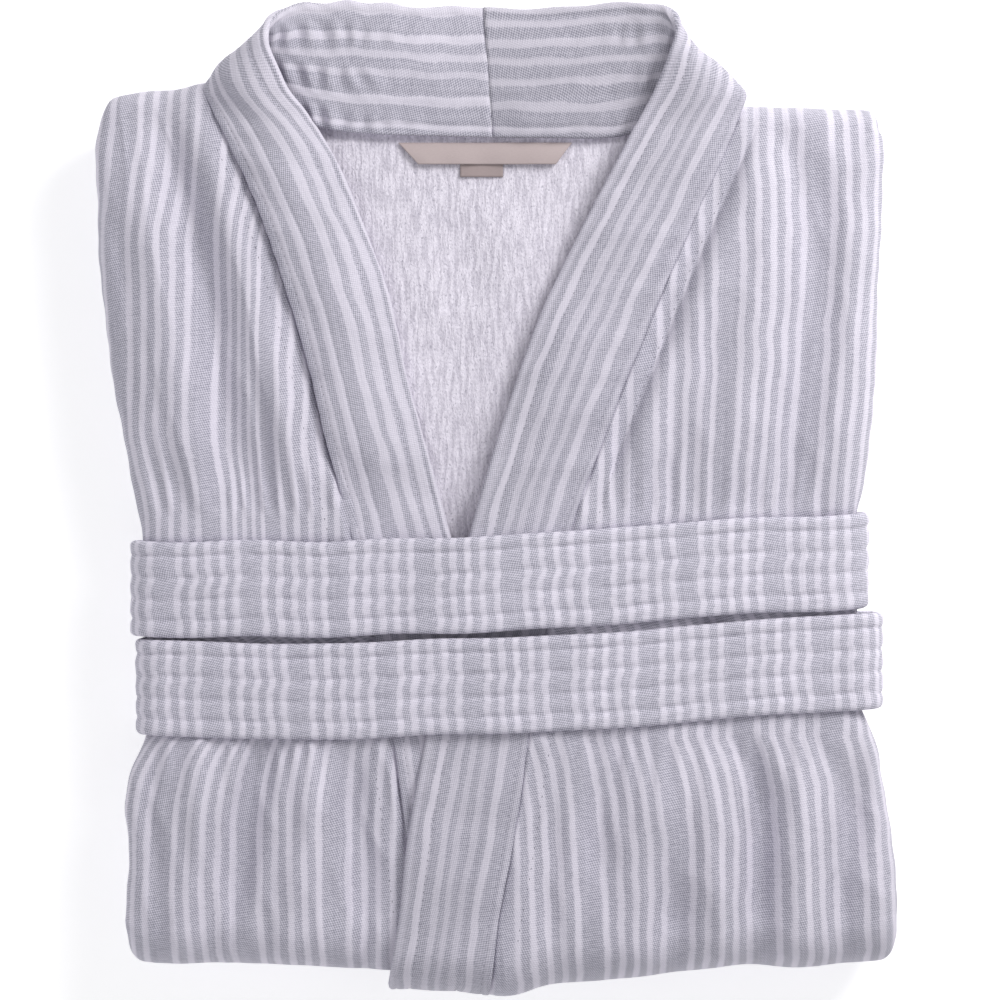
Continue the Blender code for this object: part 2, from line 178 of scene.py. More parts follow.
def dimple(x, y, place, width, height):
    """A soft round rise or dip. width is (across x, along y)."""
    across = (x - place[0]) / width[0]
    along = (y - place[1]) / width[1]
    return height * np.exp(-across * across - along * along)


def crumple(x, y, longest, shortest, seed, waves=14):
    """Smooth unevenness about 1 high: waves of many directions and lengths."""
    chance = np.random.default_rng(seed)
    total = np.zeros(np.broadcast(x, y).shape)
    for _ in range(waves):
        length = longest * (shortest / longest) ** chance.random()
        turn = chance.random() * math.tau
        shift = chance.random() * math.tau
        total += np.sin((x * math.cos(turn) + y * math.sin(turn)) * math.tau / length + shift)
    return total / math.sqrt(waves)


def long_wrinkles(x, y, seed):
    """Small sharp-backed wrinkles that run mostly along the bundle."""
    wave = crumple(x + 0.10 * y, y * 0.26, 0.042, 0.015, seed, 16)
    return 0.6 - np.abs(np.tanh(1.3 * wave))


def belt_gathers(x, y, seed):
    """Short folds that fan out from under the belt, where it draws the cloth in."""
    outside = np.maximum(np.maximum(y - BELT_TOP_EDGE, BELT_LOW_EDGE - y), 0.0)
    fade = np.exp(-outside / 0.024) * (1 - np.exp(-outside / 0.0045))
    spread = x * (1 - 0.8 * outside)
    wave = crumple(spread, outside * 0.12, 0.030, 0.013, seed, 14)
    return fade * (0.5 - np.abs(np.tanh(1.2 * wave))) * 1.8


def away_from_belt(y, reach):
    """0 where the belt presses, 1 further than reach from its edges."""
    outside = np.maximum(y - BELT_TOP_EDGE, BELT_LOW_EDGE - y)
    return step(-0.004, reach, outside)


def belt_seat(x):
    return curve_at(BELT_SEAT, x)


def kept_below_belt(z, x, y):
    """z, but no higher than the belt's underside where the belt covers it."""
    under_upper = step(-BESIDE_BELT, BESIDE_BELT, curve_at(UPPER_Y, x) + BELT_WIDTH / 2 - y)
    over_lower = step(-BESIDE_BELT, BESIDE_BELT, y - curve_at(LOWER_Y, x) + BELT_WIDTH / 2)
    return z - under_upper * over_lower * np.maximum(z - belt_seat(x) + BELT_CLEARANCE, 0.0)


# Where the two wraps of the belt nearly touch: (x, y).
WRAP_GAP = [(-0.190, -0.0692), (-0.123, -0.0705), (-0.048, -0.0684), (0.000, -0.0668), (0.052, -0.0643),
            (0.102, -0.0600), (0.152, -0.0565), (0.190, -0.0550)]


def gap_dip(x, y):
    """The cloth sinks between the two wraps."""
    depth = 0.0012 + 0.0042 * (1 - step(0.010, 0.050, x)) + 0.0040 * np.exp(-((x - 0.108) / 0.006) ** 2)
    return -depth * np.exp(-((y - curve_at(WRAP_GAP, x)) / 0.0058) ** 2)


LEFT_FOLDS = [
    # (line of (y, x), width, height)
    ([(0.190, -0.167), (0.090, -0.141), (0.022, -0.1335), (-0.013, -0.127)], 0.0100, -0.0074),
    ([(0.040, -0.129), (-0.012, -0.122)], 0.0085, -0.0034),
    ([(0.150, -0.1785), (0.090, -0.166), (0.019, -0.1520), (-0.010, -0.150)], 0.0095, 0.0044),
    ([(0.172, -0.141), (0.100, -0.120), (0.040, -0.106), (-0.006, -0.0975)], 0.0110, 0.0050),
    ([(0.140, -0.190), (0.060, -0.184), (0.010, -0.174)], 0.0060, -0.0022),
    ([(0.060, -0.119), (-0.010, -0.112)], 0.0075, -0.0046),
    ([(0.120, -0.113), (0.050, -0.0925)], 0.0070, -0.0022),
    ([(-0.108, -0.112), (-0.122, -0.114), (-0.150, -0.124), (-0.200, -0.131)], 0.0095, -0.0100),
    ([(-0.120, -0.146), (-0.160, -0.148), (-0.215, -0.156)], 0.0095, 0.0058),
    ([(-0.118, -0.090), (-0.150, -0.092), (-0.205, -0.102)], 0.0090, 0.0056),
    ([(-0.125, -0.074), (-0.190, -0.066), (-0.225, -0.066)], 0.0075, -0.0066),
    ([(-0.118, -0.170), (-0.150, -0.173), (-0.185, -0.170)], 0.0055, -0.0036),
    ([(-0.175, -0.150), (-0.232, -0.146)], 0.0090, -0.0034),
]
RIGHT_FOLDS = [
    ([(0.170, 0.1190), (0.094, 0.0850), (0.058, 0.0710), (0.008, 0.0525)], 0.0070, -0.0046),
    ([(0.150, 0.124), (0.094, 0.1005), (0.058, 0.0865), (0.005, 0.0690)], 0.0105, 0.0040),
    ([(0.190, 0.141), (0.133, 0.1600), (0.054, 0.1500), (0.000, 0.134)], 0.0120, -0.0050),
    ([(0.150, 0.138), (0.080, 0.1260), (0.020, 0.117), (-0.004, 0.112)], 0.0130, 0.0038),
    ([(0.140, 0.178), (0.060, 0.1740), (0.000, 0.164)], 0.0090, 0.0032),
    ([(0.070, 0.090), (0.010, 0.086), (-0.008, 0.084)], 0.0080, -0.0042),
    ([(0.040, 0.150), (-0.008, 0.146)], 0.0075, -0.0030),
    ([(-0.108, 0.112), (-0.142, 0.1330), (-0.178, 0.131), (-0.224, 0.1305)], 0.0095, -0.0098),
    ([(-0.112, 0.158), (-0.138, 0.1760), (-0.190, 0.1735), (-0.224, 0.177)], 0.0085, -0.0066),
    ([(-0.120, 0.060), (-0.153, 0.0520), (-0.190, 0.050)], 0.0085, -0.0066),
    ([(-0.185, 0.088), (-0.228, 0.0875)], 0.0085, -0.0064),
    ([(-0.118, 0.086), (-0.164, 0.0800), (-0.195, 0.076)], 0.0105, 0.0048),
    ([(-0.118, 0.112), (-0.174, 0.1090), (-0.215, 0.110)], 0.0095, 0.0060),
    ([(-0.118, 0.148), (-0.164, 0.1520), (-0.225, 0.153)], 0.0095, 0.0058),
    ([(-0.150, 0.030), (-0.225, 0.024)], 0.0080, -0.0036),
]
LEFT_CREASES = [
    ([(0.175, -0.160), (0.090, -0.1415), (0.022, -0.1335), (-0.008, -0.1270)], 0.0042, -0.0020),
    ([(-0.110, -0.110), (-0.135, -0.1205), (-0.165, -0.1255), (-0.205, -0.1310)], 0.0045, -0.0026),
    ([(-0.145, -0.079), (-0.180, -0.070), (-0.215, -0.0655)], 0.0040, -0.0018),
    ([(0.150, -0.1300), (0.100, -0.1130), (0.060, -0.1030)], 0.0030, -0.0010),
]
RIGHT_CREASES = [
    ([(-0.112, 0.1120), (-0.135, 0.1275), (-0.165, 0.1345), (-0.195, 0.1345)], 0.0042, -0.0026),
    ([(-0.116, 0.1560), (-0.140, 0.1720), (-0.170, 0.1760)], 0.0040, -0.0026),
    ([(0.150, 0.1510), (0.100, 0.1560), (0.060, 0.1500)], 0.0040, -0.0011),
    ([(-0.195, 0.0930), (-0.226, 0.0900)], 0.0034, -0.0018),
]
RIGHT_CREASE = [(0.185, 0.1290), (0.148, 0.1130), (0.101, 0.0930), (0.051, 0.0725), (0.010, 0.0560)]


# How much of a fold's height is left where the belt presses on it.
FOLD_UNDER_BELT = 0.25

# The back, which is lower where the fronts hide it, and the lowest that a front can sink over it.
BACK_TOP = 0.0428
HIDDEN_BACK_TOP = 0.0402
FRONT_FLOOR = 0.0436


def kept_above(z, floor):
    """z, but levelling out softly where it would sink below floor."""
    over = z - floor
    return floor + 0.5 * (over + np.sqrt(over * over + 0.0008 ** 2))


def folded(z, x, y, folds, creases, loose):
    """z with its folds, which the belt presses flatter, and its creases, which it presses away."""
    for line, width, height in folds:
        z = z + fold_ridge(x, y, line, width, height) * (FOLD_UNDER_BELT + (1 - FOLD_UNDER_BELT) * loose)
    for line, width, height in creases:
        z = z + crease(x, y, line, width, height) * loose
    return z


def left_top(x, y):
    """Height of the left front's outer face, in the bundle's upper half."""
    loose = away_from_belt(y, 0.040)
    side = curve_at(LEFT_EDGE, y)
    seam = curve_at(LEFT_SEAM, y)
    across = np.clip((x - side) / (seam - side), 0.0, 1.0)
    free_height = 0.0484 + 0.0046 * np.sin(math.pi * across) ** 0.7
    free_height = free_height - 0.0006 * step(-0.030, 0.0, x - seam)
    z = belt_seat(np.minimum(x, seam)) * (1 - loose) + free_height * loose
    z = folded(z, x, y, LEFT_FOLDS, LEFT_CREASES, loose)
    z = z + 0.0005 * crumple(x, y, 0.120, 0.035, 3) * loose + gap_dip(x, y)
    z = z + (0.0010 + 0.0006 * (y < 0)) * long_wrinkles(x, y, 71) * loose + 0.0028 * belt_gathers(x, y, 72)
    z = z - 0.0045 * step(0.165, 0.212, y)
    z = z + 0.0035 * step(0.150, 0.205, y) * step(-0.170, -0.140, x)
    z = z - 0.0028 * step(-0.0006, 0.0014, x - seam)
    return kept_above(kept_below_belt(z, x, y), FRONT_FLOOR)


def right_top(x, y):
    """Height of the right front's outer face, in the bundle's upper half."""
    loose = away_from_belt(y, 0.045)
    side = curve_at(RIGHT_EDGE, y)
    seam = curve_at(RIGHT_SEAM, y)
    across = np.clip((x - side) / (seam - side), 0.0, 1.0)
    free_height = 0.0550 + 0.0046 * np.sin(math.pi * across) ** 0.7
    z = belt_seat(np.maximum(x, seam)) * (1 - loose) + free_height * loose
    z = folded(z, x, y, RIGHT_FOLDS, RIGHT_CREASES, loose)
    z = z + dimple(x, y, (0.153, 0.1945), (0.020, 0.006), 0.0022)
    z = z + 0.0005 * crumple(x, y, 0.120, 0.035, 5) * loose + gap_dip(x, y)
    z = z + (0.0010 + 0.0006 * (y < 0)) * long_wrinkles(x, y, 73) * loose + 0.0026 * belt_gathers(x, y, 74)
    z = z - 0.0040 * step(0.160, 0.204, y)
    z = z + crease(x, y, RIGHT_CREASE, 0.0017, -0.0030)
    z = z - 0.0028 * step(-0.0006, 0.0014, seam - x)
    return kept_above(kept_below_belt(z, x, y), FRONT_FLOOR)


def sag(y):
    """How far the underside comes down to the resting plane, on both sides of the belt."""
    return 0.0030 * step(0.125, 0.160, -y) + 0.0058 * step(-0.014, 0.031, y)


def right_under(x, y):
    return 0.0066 - sag(y) + 0.0 * x


def left_under(x, y):
    over_band = step(-0.052, -0.006, x - under_edge_x(RIGHT_FREE, y))
    return 0.0080 - sag(y) + 0.0066 * over_band


# ---------------------------------------------------------------- cloth as meshes

def grid_normals(points):
    """Unit normals of a grid of points, rows by columns."""
    down = np.gradient(points, axis=0)
    across = np.gradient(points, axis=1)
    return unit(np.cross(across, down))


def in_scene(name, data):
    """A new object of the scene, which holds data."""
    made = bpy.data.objects.new(name, data)
    bpy.context.scene.collection.objects.link(made)
    return made


def cloth_object(name, outer, inner, cloth, materials, inner_material=0, rim_material=0, tube=False):
    """A closed piece of cloth from its outer and its inner grid. cloth holds each point's place on the
    flat cloth, in metres, which the materials read as the UV map. A tube's last column meets its first."""
    rows, columns = outer.shape[:2]
    count = rows * columns
    points = np.concatenate([outer.reshape(-1, 3), inner.reshape(-1, 3)])
    place = np.concatenate([cloth.reshape(-1, 2), cloth.reshape(-1, 2)])
    index = np.arange(count).reshape(rows, columns)
    face = np.stack([index[:-1, :-1], index[:-1, 1:], index[1:, 1:], index[1:, :-1]], -1).reshape(-1, 4)
    if tube:
        first, last = index[:, 0], index[:, -1]
        face = np.concatenate([face, np.stack([last[:-1], first[:-1], first[1:], last[1:]], -1)])
        around = np.concatenate([index[0], index[-1, ::-1]])
        after = np.concatenate([np.roll(index[0], -1), np.roll(index[-1, ::-1], -1)])
    else:
        around = np.concatenate([index[0, :-1], index[:-1, -1], index[-1, :0:-1], index[:0:-1, 0]])
        after = np.roll(around, -1)
    back = face[:, ::-1] + count
    rim = np.stack([after, around, around + count, after + count], -1)
    faces = np.concatenate([face, back, rim])
    mesh = bpy.data.meshes.new(name)
    mesh.from_pydata(points.tolist(), [], faces.tolist())
    layer = mesh.uv_layers.new(name="cloth")
    layer.data.foreach_set("uv", place[faces.reshape(-1)].astype(np.float32).ravel())
    for material in materials:
        mesh.materials.append(material)
    slots = np.concatenate([np.zeros(len(face)), np.full(len(back), inner_material),
                            np.full(len(rim), rim_material)]).astype(np.int32)
    mesh.polygons.foreach_set("material_index", slots)
    mesh.polygons.foreach_set("use_smooth", np.ones(len(faces), bool))
    mesh.update()
    return in_scene(name, mesh)


def along_bundle(part, share, x, top, under, bottom_y, shoulder_y, shoulder_round, fold_depth, hem=HEM_Y):
    """Where the cloth is at places x of one row: y, z, the outward direction (y, z), and the length along it.

    part is behind, shoulder, top, fold or under, and share runs from 0 to 1 through that part."""
    shoulder = shoulder_y(x) - shoulder_round
    fold = bottom_y(x) + fold_depth
    if part in ("behind", "shoulder"):
        turn = math.pi if part == "behind" else math.pi * (1 - share)
        back = 0.060 * (1 - share) if part == "behind" else 0.0
        height = top(x, shoulder) - shoulder_round
        y = shoulder + shoulder_round * math.sin(turn) - back
        z = height + shoulder_round * math.cos(turn)
        return y, z, math.sin(turn) + 0 * x, math.cos(turn) + 0 * x, shoulder + shoulder_round * turn + back
    if part == "top":
        y = shoulder + (fold - shoulder) * share
        return y, top(x, y), 0 * x, 1 + 0 * x, y
    high, low = top(x, fold), under(x, fold)
    half = (high - low) / 2
    if part == "fold":
        turn = math.pi * share
        y = fold - fold_depth * math.sin(turn)
        z = (high + low) / 2 + half * math.cos(turn)
        return y, z, -math.sin(turn) + 0 * x, math.cos(turn) + 0 * x, fold - (half + fold_depth) / 2 * turn
    y = fold + (hem - fold) * share
    return y, under(x, y), 0 * x, -1 + 0 * x, fold - (half + fold_depth) / 2 * math.pi - (y - fold)


def bundle_rows(behind, shoulder, top, fold, under):
    """The rows of a sheet that goes round the bundle, as (part, share)."""
    rows = []
    counts = {"behind": behind, "shoulder": shoulder, "top": top, "fold": fold, "under": under}
    for part, count in counts.items():
        last = part == "under"
        rows += [(part, i / (count - 1 if last else count)) for i in range(count)]
    return rows


def side_edges(part, y, side, seam, edge):
    """x of a front's seam and of its outer side in the row at y."""
    if part != "under":
        return float(curve_at(seam, y)), float(curve_at(edge, y))
    tucked = curve_at(edge, y) - side * (0.0035 + 0.003 * math.sin(y * 31 + side))
    if side > 0:
        tucked += 0.004 * math.exp(-((y + 0.135) / 0.03) ** 2)
    return float(under_edge_x(seam, y)), float(tucked)


def front_row(part, y, side, seam_x, edge_at):
    """One row of a front: x, the distance across the flat cloth, and how deep its side has rolled in."""
    edge_at = edge_at + 0.0003 * math.sin(y * 93 + side) + 0.0002 * math.sin(y * 331)
    near_shoulder = step(0.150, 0.196, y) if part == "top" else float(part in ("behind", "shoulder"))
    near_fold = float(part == "fold") or float(step(0.185, 0.228, -y))
    roll = 0.0118 - 0.0063 * near_shoulder - 0.0040 * near_fold
    turn_x = edge_at - side * roll
    turns = np.linspace(0, math.pi, ROLL_COLUMNS + 1)[1:]
    tail = np.linspace(0, TUCKED_TAIL, TAIL_COLUMNS + 1)[1:]
    at_seam = seam_x + side * np.linspace(-0.0080, 0.0060, SEAM_COLUMNS)
    at_crease = seam_x + side * np.linspace(0.0068, 0.0130, CREASE_COLUMNS)
    flat = np.concatenate([at_seam, at_crease, np.linspace(at_crease[-1], turn_x, FLAT_COLUMNS)[1:]])
    x = np.concatenate([flat, turn_x + side * roll * np.sin(turns), turn_x - side * tail])
    across = np.concatenate([flat, turn_x + side * roll * turns, turn_x + side * (roll * math.pi + tail)])
    deep = np.concatenate([0 * flat, roll * (1 - np.cos(turns)), 2 * roll + 0 * tail])
    return x, across, deep


def front_cloth(name, side, seam, edge, shoulder, bottom, top, under, drift, materials):
    """A front: it comes over the shoulder, down the bundle's top, round the bottom fold and back under it
    to the hem. Along its side it rolls in to the bundle."""
    def bottom_y(x):
        return curve_at(bottom, x)

    def shoulder_y(x):
        return curve_at(shoulder, x)

    middle = np.array([0.5 * (seam[3][1] + edge[3][1])])
    outer, cloth = [], []
    for part, share in bundle_rows(7, 12, 165, 26, 110):
        y_row = float(along_bundle(part, share, middle, top, under, bottom_y, shoulder_y,
                                   SHOULDER_ROUND, FOLD_DEPTH)[0][0])
        if part in ("behind", "shoulder"):
            y_row = max(y_row, 0.196)
        seam_x, edge_at = side_edges(part, y_row, side, seam, edge)
        x, across, deep = front_row(part, y_row, side, seam_x, edge_at)
        y, z, out_y, out_z, along = along_bundle(part, share, x, top, under, bottom_y, shoulder_y,
                                                 SHOULDER_ROUND, FOLD_DEPTH)
        outer.append(np.stack([x, y - deep * out_y, z - deep * out_z], -1))
        cloth.append(np.stack([across - drift(across, np.clip(along, -0.25, 0.25)), along], -1))
    outer, cloth = np.array(outer), np.array(cloth)
    if side > 0:
        outer, cloth = outer[:, ::-1], cloth[:, ::-1]
    in_hem = step(HEM_START, HEM_START + 0.002, outer[..., 1]) * (outer[..., 2] < FOLD_Z)
    inner = outer - grid_normals(outer) * (CLOTH_THICK + HEM_ADDS * in_hem)[..., None]
    made = cloth_object(name, outer, inner, cloth, materials, inner_material=1)
    sewn = SEAM_COLUMNS + 3
    return made, outer[SEWN_ROWS], sewn if side < 0 else outer.shape[1] - 1 - sewn


def stripe_wobble(x, y, seed):
    """The weave never runs quite straight."""
    return 0.00042 * crumple(x, y, 0.070, 0.020, seed, 18) + 0.0009 * crumple(x, y, 0.200, 0.100, seed + 1, 6)


def right_drift(x, y):
    """How far the right front's stripes have moved along x: drawn together at the belt."""
    outward = np.clip((x - 0.077) / 0.116, 0.0, 1.1)
    above = (-0.0030 * (1 - 0.6 * outward) * step(0.0, 0.020, x - 0.100) * step(-0.150, -0.080, -y)
             - 0.0075 * outward * step(-0.070, 0.008, -y))
    below = 0.0190 - 0.0115 * np.exp(-np.maximum(-0.118 - y, 0.0) / 0.030)
    under_belt = step(-0.075, -0.050, y)
    jog = 0.0016 * step(0.0, 0.0012, curve_at(RIGHT_CREASE, y) - x) * step(0.000, 0.015, y)
    return above * under_belt + below * (1 - under_belt) + stripe_wobble(x, y, 81) + jog


def left_drift(x, y):
    """How far the left front's stripes have moved along x: drawn into the long valley and the belt."""
    outward = np.clip((-0.074 - x) / 0.086, 0.0, 1.2)
    above = (-0.0125 * step(-0.138, -0.106, x) * step(-0.170, -0.120, -y) - 0.0015
             + 0.0065 * step(0.120, 0.190, y) + 0.0070 * outward * step(-0.040, 0.010, -y))
    below = 0.0215 + (0.0040 + 0.0120 * outward) * np.exp(-np.maximum(-0.118 - y, 0.0) / 0.014)
    under_belt = step(-0.075, -0.050, y)
    return above * under_belt + below * (1 - under_belt) + stripe_wobble(x, y, 83)


# Round the neck, from the centre back to the chest: (seam point, free edge point, how far it bellies out).
LEFT_NECK = [((-0.0018, 0.1822, 0.0458), (-0.0063, 0.2462, 0.0515), -0.0030),
             ((-0.0400, 0.1832, 0.0458), (-0.0420, 0.2475, 0.0530), -0.0032),
             ((-0.0740, 0.1852, 0.0452), (-0.0750, 0.2492, 0.0545), -0.0022),
             ((-0.0985, 0.1905, 0.0440), (-0.1000, 0.2475, 0.0585), 0.0000),
             ((-0.1220, 0.2010, 0.0432), (-0.1105, 0.2395, 0.0640), 0.0030),
             ((-0.1400, 0.2095, 0.0440), (-0.1125, 0.2255, 0.0655), 0.0060),
             ((-0.1450, 0.2045, 0.0453), (-0.1035, 0.2075, 0.0605), 0.0066)]
RIGHT_NECK = [((-0.0016, 0.1822, 0.0458), (-0.0061, 0.2462, 0.0515), -0.0030),
              ((0.0280, 0.1823, 0.0458), (0.0320, 0.2470, 0.0530), -0.0030),
              ((0.0580, 0.1824, 0.0450), (0.0650, 0.2492, 0.0556), -0.0015),
              ((0.0820, 0.1885, 0.0446), (0.0850, 0.2470, 0.0620), 0.0008),
              ((0.1035, 0.1985, 0.0456), (0.0885, 0.2375, 0.0668), 0.0032),
              ((0.1190, 0.2055, 0.0486), (0.0850, 0.2215, 0.0664), 0.0060),
              ((0.1245, 0.2020, 0.0513), (0.0778, 0.2045, 0.0604), 0.0062)]


def left_band_middle(share, y):
    """Height of the middle of the left band's cloth on the bundle's top."""
    upper = step(-0.030, 0.050, y)
    at_belt = 1 - away_from_belt(y, 0.030)
    seam_x, free_x = curve_at(LEFT_SEAM, y), curve_at(LEFT_FREE, y)
    seam_z = left_top(seam_x - 0.007, y) - 0.0016
    seam_z = seam_z * (upper + (1 - upper) * 0.4) + 0.0462 * (1 - upper) * 0.6
    free_z = 0.0460 + 0.0060 * step(0.120, 0.200, y)
    belly = 0.0062 * upper * (1 - at_belt) * np.sin(math.pi * share ** 0.9) ** 0.9
    flat = np.minimum(belt_seat(seam_x + (free_x - seam_x) * share), 0.0505) - BAND_BELOW_BELT
    flat = kept_above(flat + gap_dip(seam_x + (free_x - seam_x) * share, y), 0.0438)
    return (seam_z + (free_z - seam_z) * share + belly) * (1 - at_belt) + flat * at_belt


def right_band_middle(share, y):
    """Height of the middle of the right band's cloth, which lies over the left one."""
    upper = step(0.000, 0.060, y)
    at_belt = 1 - away_from_belt(y, 0.035)
    seam_x, free_x = curve_at(RIGHT_SEAM, y), curve_at(RIGHT_FREE, y)
    seam_z = right_top(seam_x + 0.007, y) - 0.0016
    free_z = 0.0500 * upper + 0.0520 * (1 - upper) + 0.0060 * step(0.120, 0.200, y)
    belly = (0.0020 + 0.0026 * upper) * (1 - at_belt) * np.sin(math.pi * share ** 0.8) ** 0.9
    flat = belt_seat(seam_x + (free_x - seam_x) * share) - BAND_BELOW_BELT
    flat = flat + gap_dip(seam_x + (free_x - seam_x) * share, y)
    return (seam_z + (free_z - seam_z) * share + belly) * (1 - at_belt) + flat * at_belt


def edge_samples(count):
    """Shares of a width from 0 to 1, closer together at both edges."""
    even = np.linspace(0, 1, count)
    return 0.45 * (0.5 - 0.5 * np.cos(math.pi * even)) + 0.55 * even


def round_edges(place, width, reach):
    """Share of its thickness that a padded strip has, which is round along both edges."""
    near = np.clip(np.minimum(place, width - place) / reach, 0.0, 1.0)
    return 0.06 + 0.94 * np.sqrt(np.clip(1 - (1 - near) ** 2, 0.0, 1.0))


def band_round(place):
    """The same for the collar band: crisp along its seam, fuller along its free edge."""
    seam = round_edges(place, 2 * BAND_WIDTH, 0.0014)
    return np.minimum(seam, round_edges(BAND_WIDTH - place, 2 * BAND_WIDTH, 0.0030))


def groove(place, at, width):
    return np.exp(-((place - at) / width) ** 2)


def band_grid(neck, seam, free, middle, bottom, under_gap):
    """Points of the middle of half the collar band, rows from the centre back to the hem."""
    share = edge_samples(60)
    chest = middle(np.array([0.0, 1.0]), CHEST_Y)
    pairs = [(i, *s, *f, b) for i, (s, f, b) in enumerate(neck)]
    pairs.append((len(neck), float(curve_at(seam, CHEST_Y)), CHEST_Y, chest[0],
                  float(curve_at(free, CHEST_Y)), CHEST_Y, chest[1], 0.0050))
    rows, bellies = [], []
    for row in curve_at(pairs, np.linspace(0, len(neck), NECK_ROWS + 1)[:-1]):
        rows.append(row[0:3] + (row[3:6] - row[0:3]) * share[:, None])
        bellies.append(row[6] * np.sin(math.pi * share) ** 0.9)

    def top(x, y):
        return middle(share, y)

    def under(x, y):
        return 0.0066 - sag(y) + under_gap + 0 * x

    for part, portion in bundle_rows(0, 0, 170, 26, 110):
        if part == "under":
            edge_at = under_edge_x
            y_row = BAND_FOLD_START + (BAND_HEM_Y - BAND_FOLD_START) * portion
        else:
            edge_at = curve_at
            y_row = CHEST_Y + (BAND_FOLD_START - CHEST_Y) * portion
        if part == "fold":
            y_row = BAND_FOLD_START - 0.021 * math.sin(math.pi * portion)
        x = edge_at(seam, y_row) + (edge_at(free, y_row) - edge_at(seam, y_row)) * share
        y, z = along_bundle(part, portion, x, top, under, lambda at: curve_at(bottom, at) + 0.0026,
                            lambda at: CHEST_Y + 0 * at, 0.0, BAND_FOLD_DEPTH, BAND_HEM_Y)[:2]
        rows.append(np.stack([x, y, z], -1))
        bellies.append(0 * share)
    return np.array(rows), np.array(bellies), share


def lengths_along(points):
    """Distance along a grid's rows, measured down the middle column."""
    return distances(points[:, points.shape[1] // 2])


def eased(rows, near, reach, rounds):
    """Evens out a grid along its length within reach rows of row near."""
    for _ in range(rounds):
        part = rows[near - reach - 1:near + reach + 1]
        rows[near - reach:near + reach] = (part[:-2] + 2 * part[1:-1] + part[2:]) / 4
    return rows


def collar_band(name, side, neck, seam, free, middle, bottom, under_gap, materials, seed):
    rows, bellies, share = band_grid(neck, seam, free, middle, bottom, under_gap)
    if side < 0:
        rows, bellies, share = rows[:, ::-1], bellies[:, ::-1], share[::-1]
    normals = grid_normals(rows)
    rows = rows + normals * bellies[..., None]
    rows = eased(rows, NECK_ROWS, 16, 60)
    normals = grid_normals(rows)
    place = share * BAND_WIDTH
    along = lengths_along(rows)
    across, length = np.meshgrid(place, along)
    at_neck = (1.35 if side < 0 else 0.8) * np.exp(-((length - 0.088) / 0.034) ** 2)
    gathered = np.sin(length * math.tau / 0.0108 + 0.9 * crumple(across, length, 0.040, 0.020, seed + 3))
    gathered = gathered * (0.45 + 0.55 * np.sin(across * math.tau / 0.0205)) * at_neck
    pucker = crumple(across * 0.5, length, 0.030, 0.010, seed)
    upper = step(FOLD_Z - 0.004, FOLD_Z + 0.004, rows[..., 2])
    soft = 0.0005 * crumple(across, length, 0.090, 0.030, seed + 1) * (0.25 + 0.75 * upper)
    half = BAND_THICK / 2 * band_round(across)
    stitched = sum(groove(across, at, 0.0009) for at in BAND_SEWING)
    near_seams = 0.25 + np.exp(-across / 0.012) + np.exp(-(BAND_WIDTH - across) / 0.012)
    body = half / (BAND_THICK / 2)
    relief = (0.00028 * pucker * near_seams - 0.00045 * stitched) * body
    outer = rows + normals * (np.maximum(half + relief, 0.0001) + soft)[..., None]
    relief = relief + 0.00130 * gathered * body
    inner = rows - normals * (np.maximum(half + relief, 0.0001) - soft)[..., None]
    edge_wave = 0.0009 * crumple(0 * length, length, 0.060, 0.018, seed + 2) * step(0.6, 1.0, share)[None, :]
    on_neck = (np.arange(len(rows)) < NECK_ROWS)[:, None]
    sideways = rows[:, -1:] - rows[:, :1] if side > 0 else rows[:, :1] - rows[:, -1:]
    shift = unit(sideways) * (edge_wave * on_neck)[..., None]
    cloth = np.stack([across + 0.0006 * crumple(across, length, 0.050, 0.018, seed + 4), length], -1)
    made = cloth_object(name, outer + shift, inner + shift, cloth, materials, inner_material=1)
    return made, outer + shift, share


# ---------------------------------------------------------------- belt

STITCH_ROWS = [0.0072, 0.0180, 0.0290, 0.0395]
# y of the belt's middle where its lower and its upper turn cross the bundle's top: (x, y).
LOWER_Y = [(-0.185, -0.0930), (-0.120, -0.0947), (-0.020, -0.0928), (0.050, -0.0893), (0.100, -0.0860),
           (0.150, -0.0818), (0.195, -0.0800)]
UPPER_Y = [(-0.185, -0.0437), (-0.120, -0.0443), (-0.048, -0.0426), (0.000, -0.0405), (0.052, -0.0375),
           (0.102, -0.0340), (0.152, -0.0310), (0.190, -0.0290)]


def belt_over(y_line, left, right, low):
    """Up the left side, over the top and down the right side, as (x, y, z)."""
    corner = 0.012
    quarter = math.pi / 2

    def middle_z(x):
        return float(belt_seat(x)) + BELT_THICK / 2

    def turned(x, z, first, last, count):
        return [(x + corner * math.cos(turn), z + corner * math.sin(turn))
                for turn in np.linspace(first, last, count)]

    left_x, right_x = left + corner, right - corner
    points = turned(left_x, low + corner, -quarter, -2 * quarter, 6)
    points += turned(left_x, middle_z(left_x) - corner, 2 * quarter, quarter, 7)
    points += [(x, middle_z(x)) for x in np.linspace(left_x, right_x, 40)[1:-1]]
    points += turned(right_x, middle_z(right_x) - corner, quarter, 0, 7)
    points += turned(right_x, low + corner, 0, -quarter, 6)
    return [(x, float(curve_at(y_line, x)), z) for x, z in points]


def belt_line():
    """Points down the middle of the whole belt, evenly spaced."""
    low = BELT_THICK / 2 + UNDER_GAP
    line = [(-0.074, -0.0915, low), (-0.120, -0.0915, low)]
    line += belt_over(LOWER_Y, -0.1795, 0.1928, low)
    for share in np.linspace(0, 1, 13):
        line.append((0.070 * (1 - 2 * share), -0.0860 + 0.0420 * float(step(0, 1, share)), low))
    line += belt_over(UPPER_Y, -0.1822, 0.1846, low)
    line += [(0.120, -0.0400, low), (0.074, -0.0420, low)]
    line = np.array(line)
    far = distances(line)
    even = np.arange(0, far[-1], 0.0026)
    return np.stack([np.interp(even, far, line[:, k]) for k in range(3)], -1), even


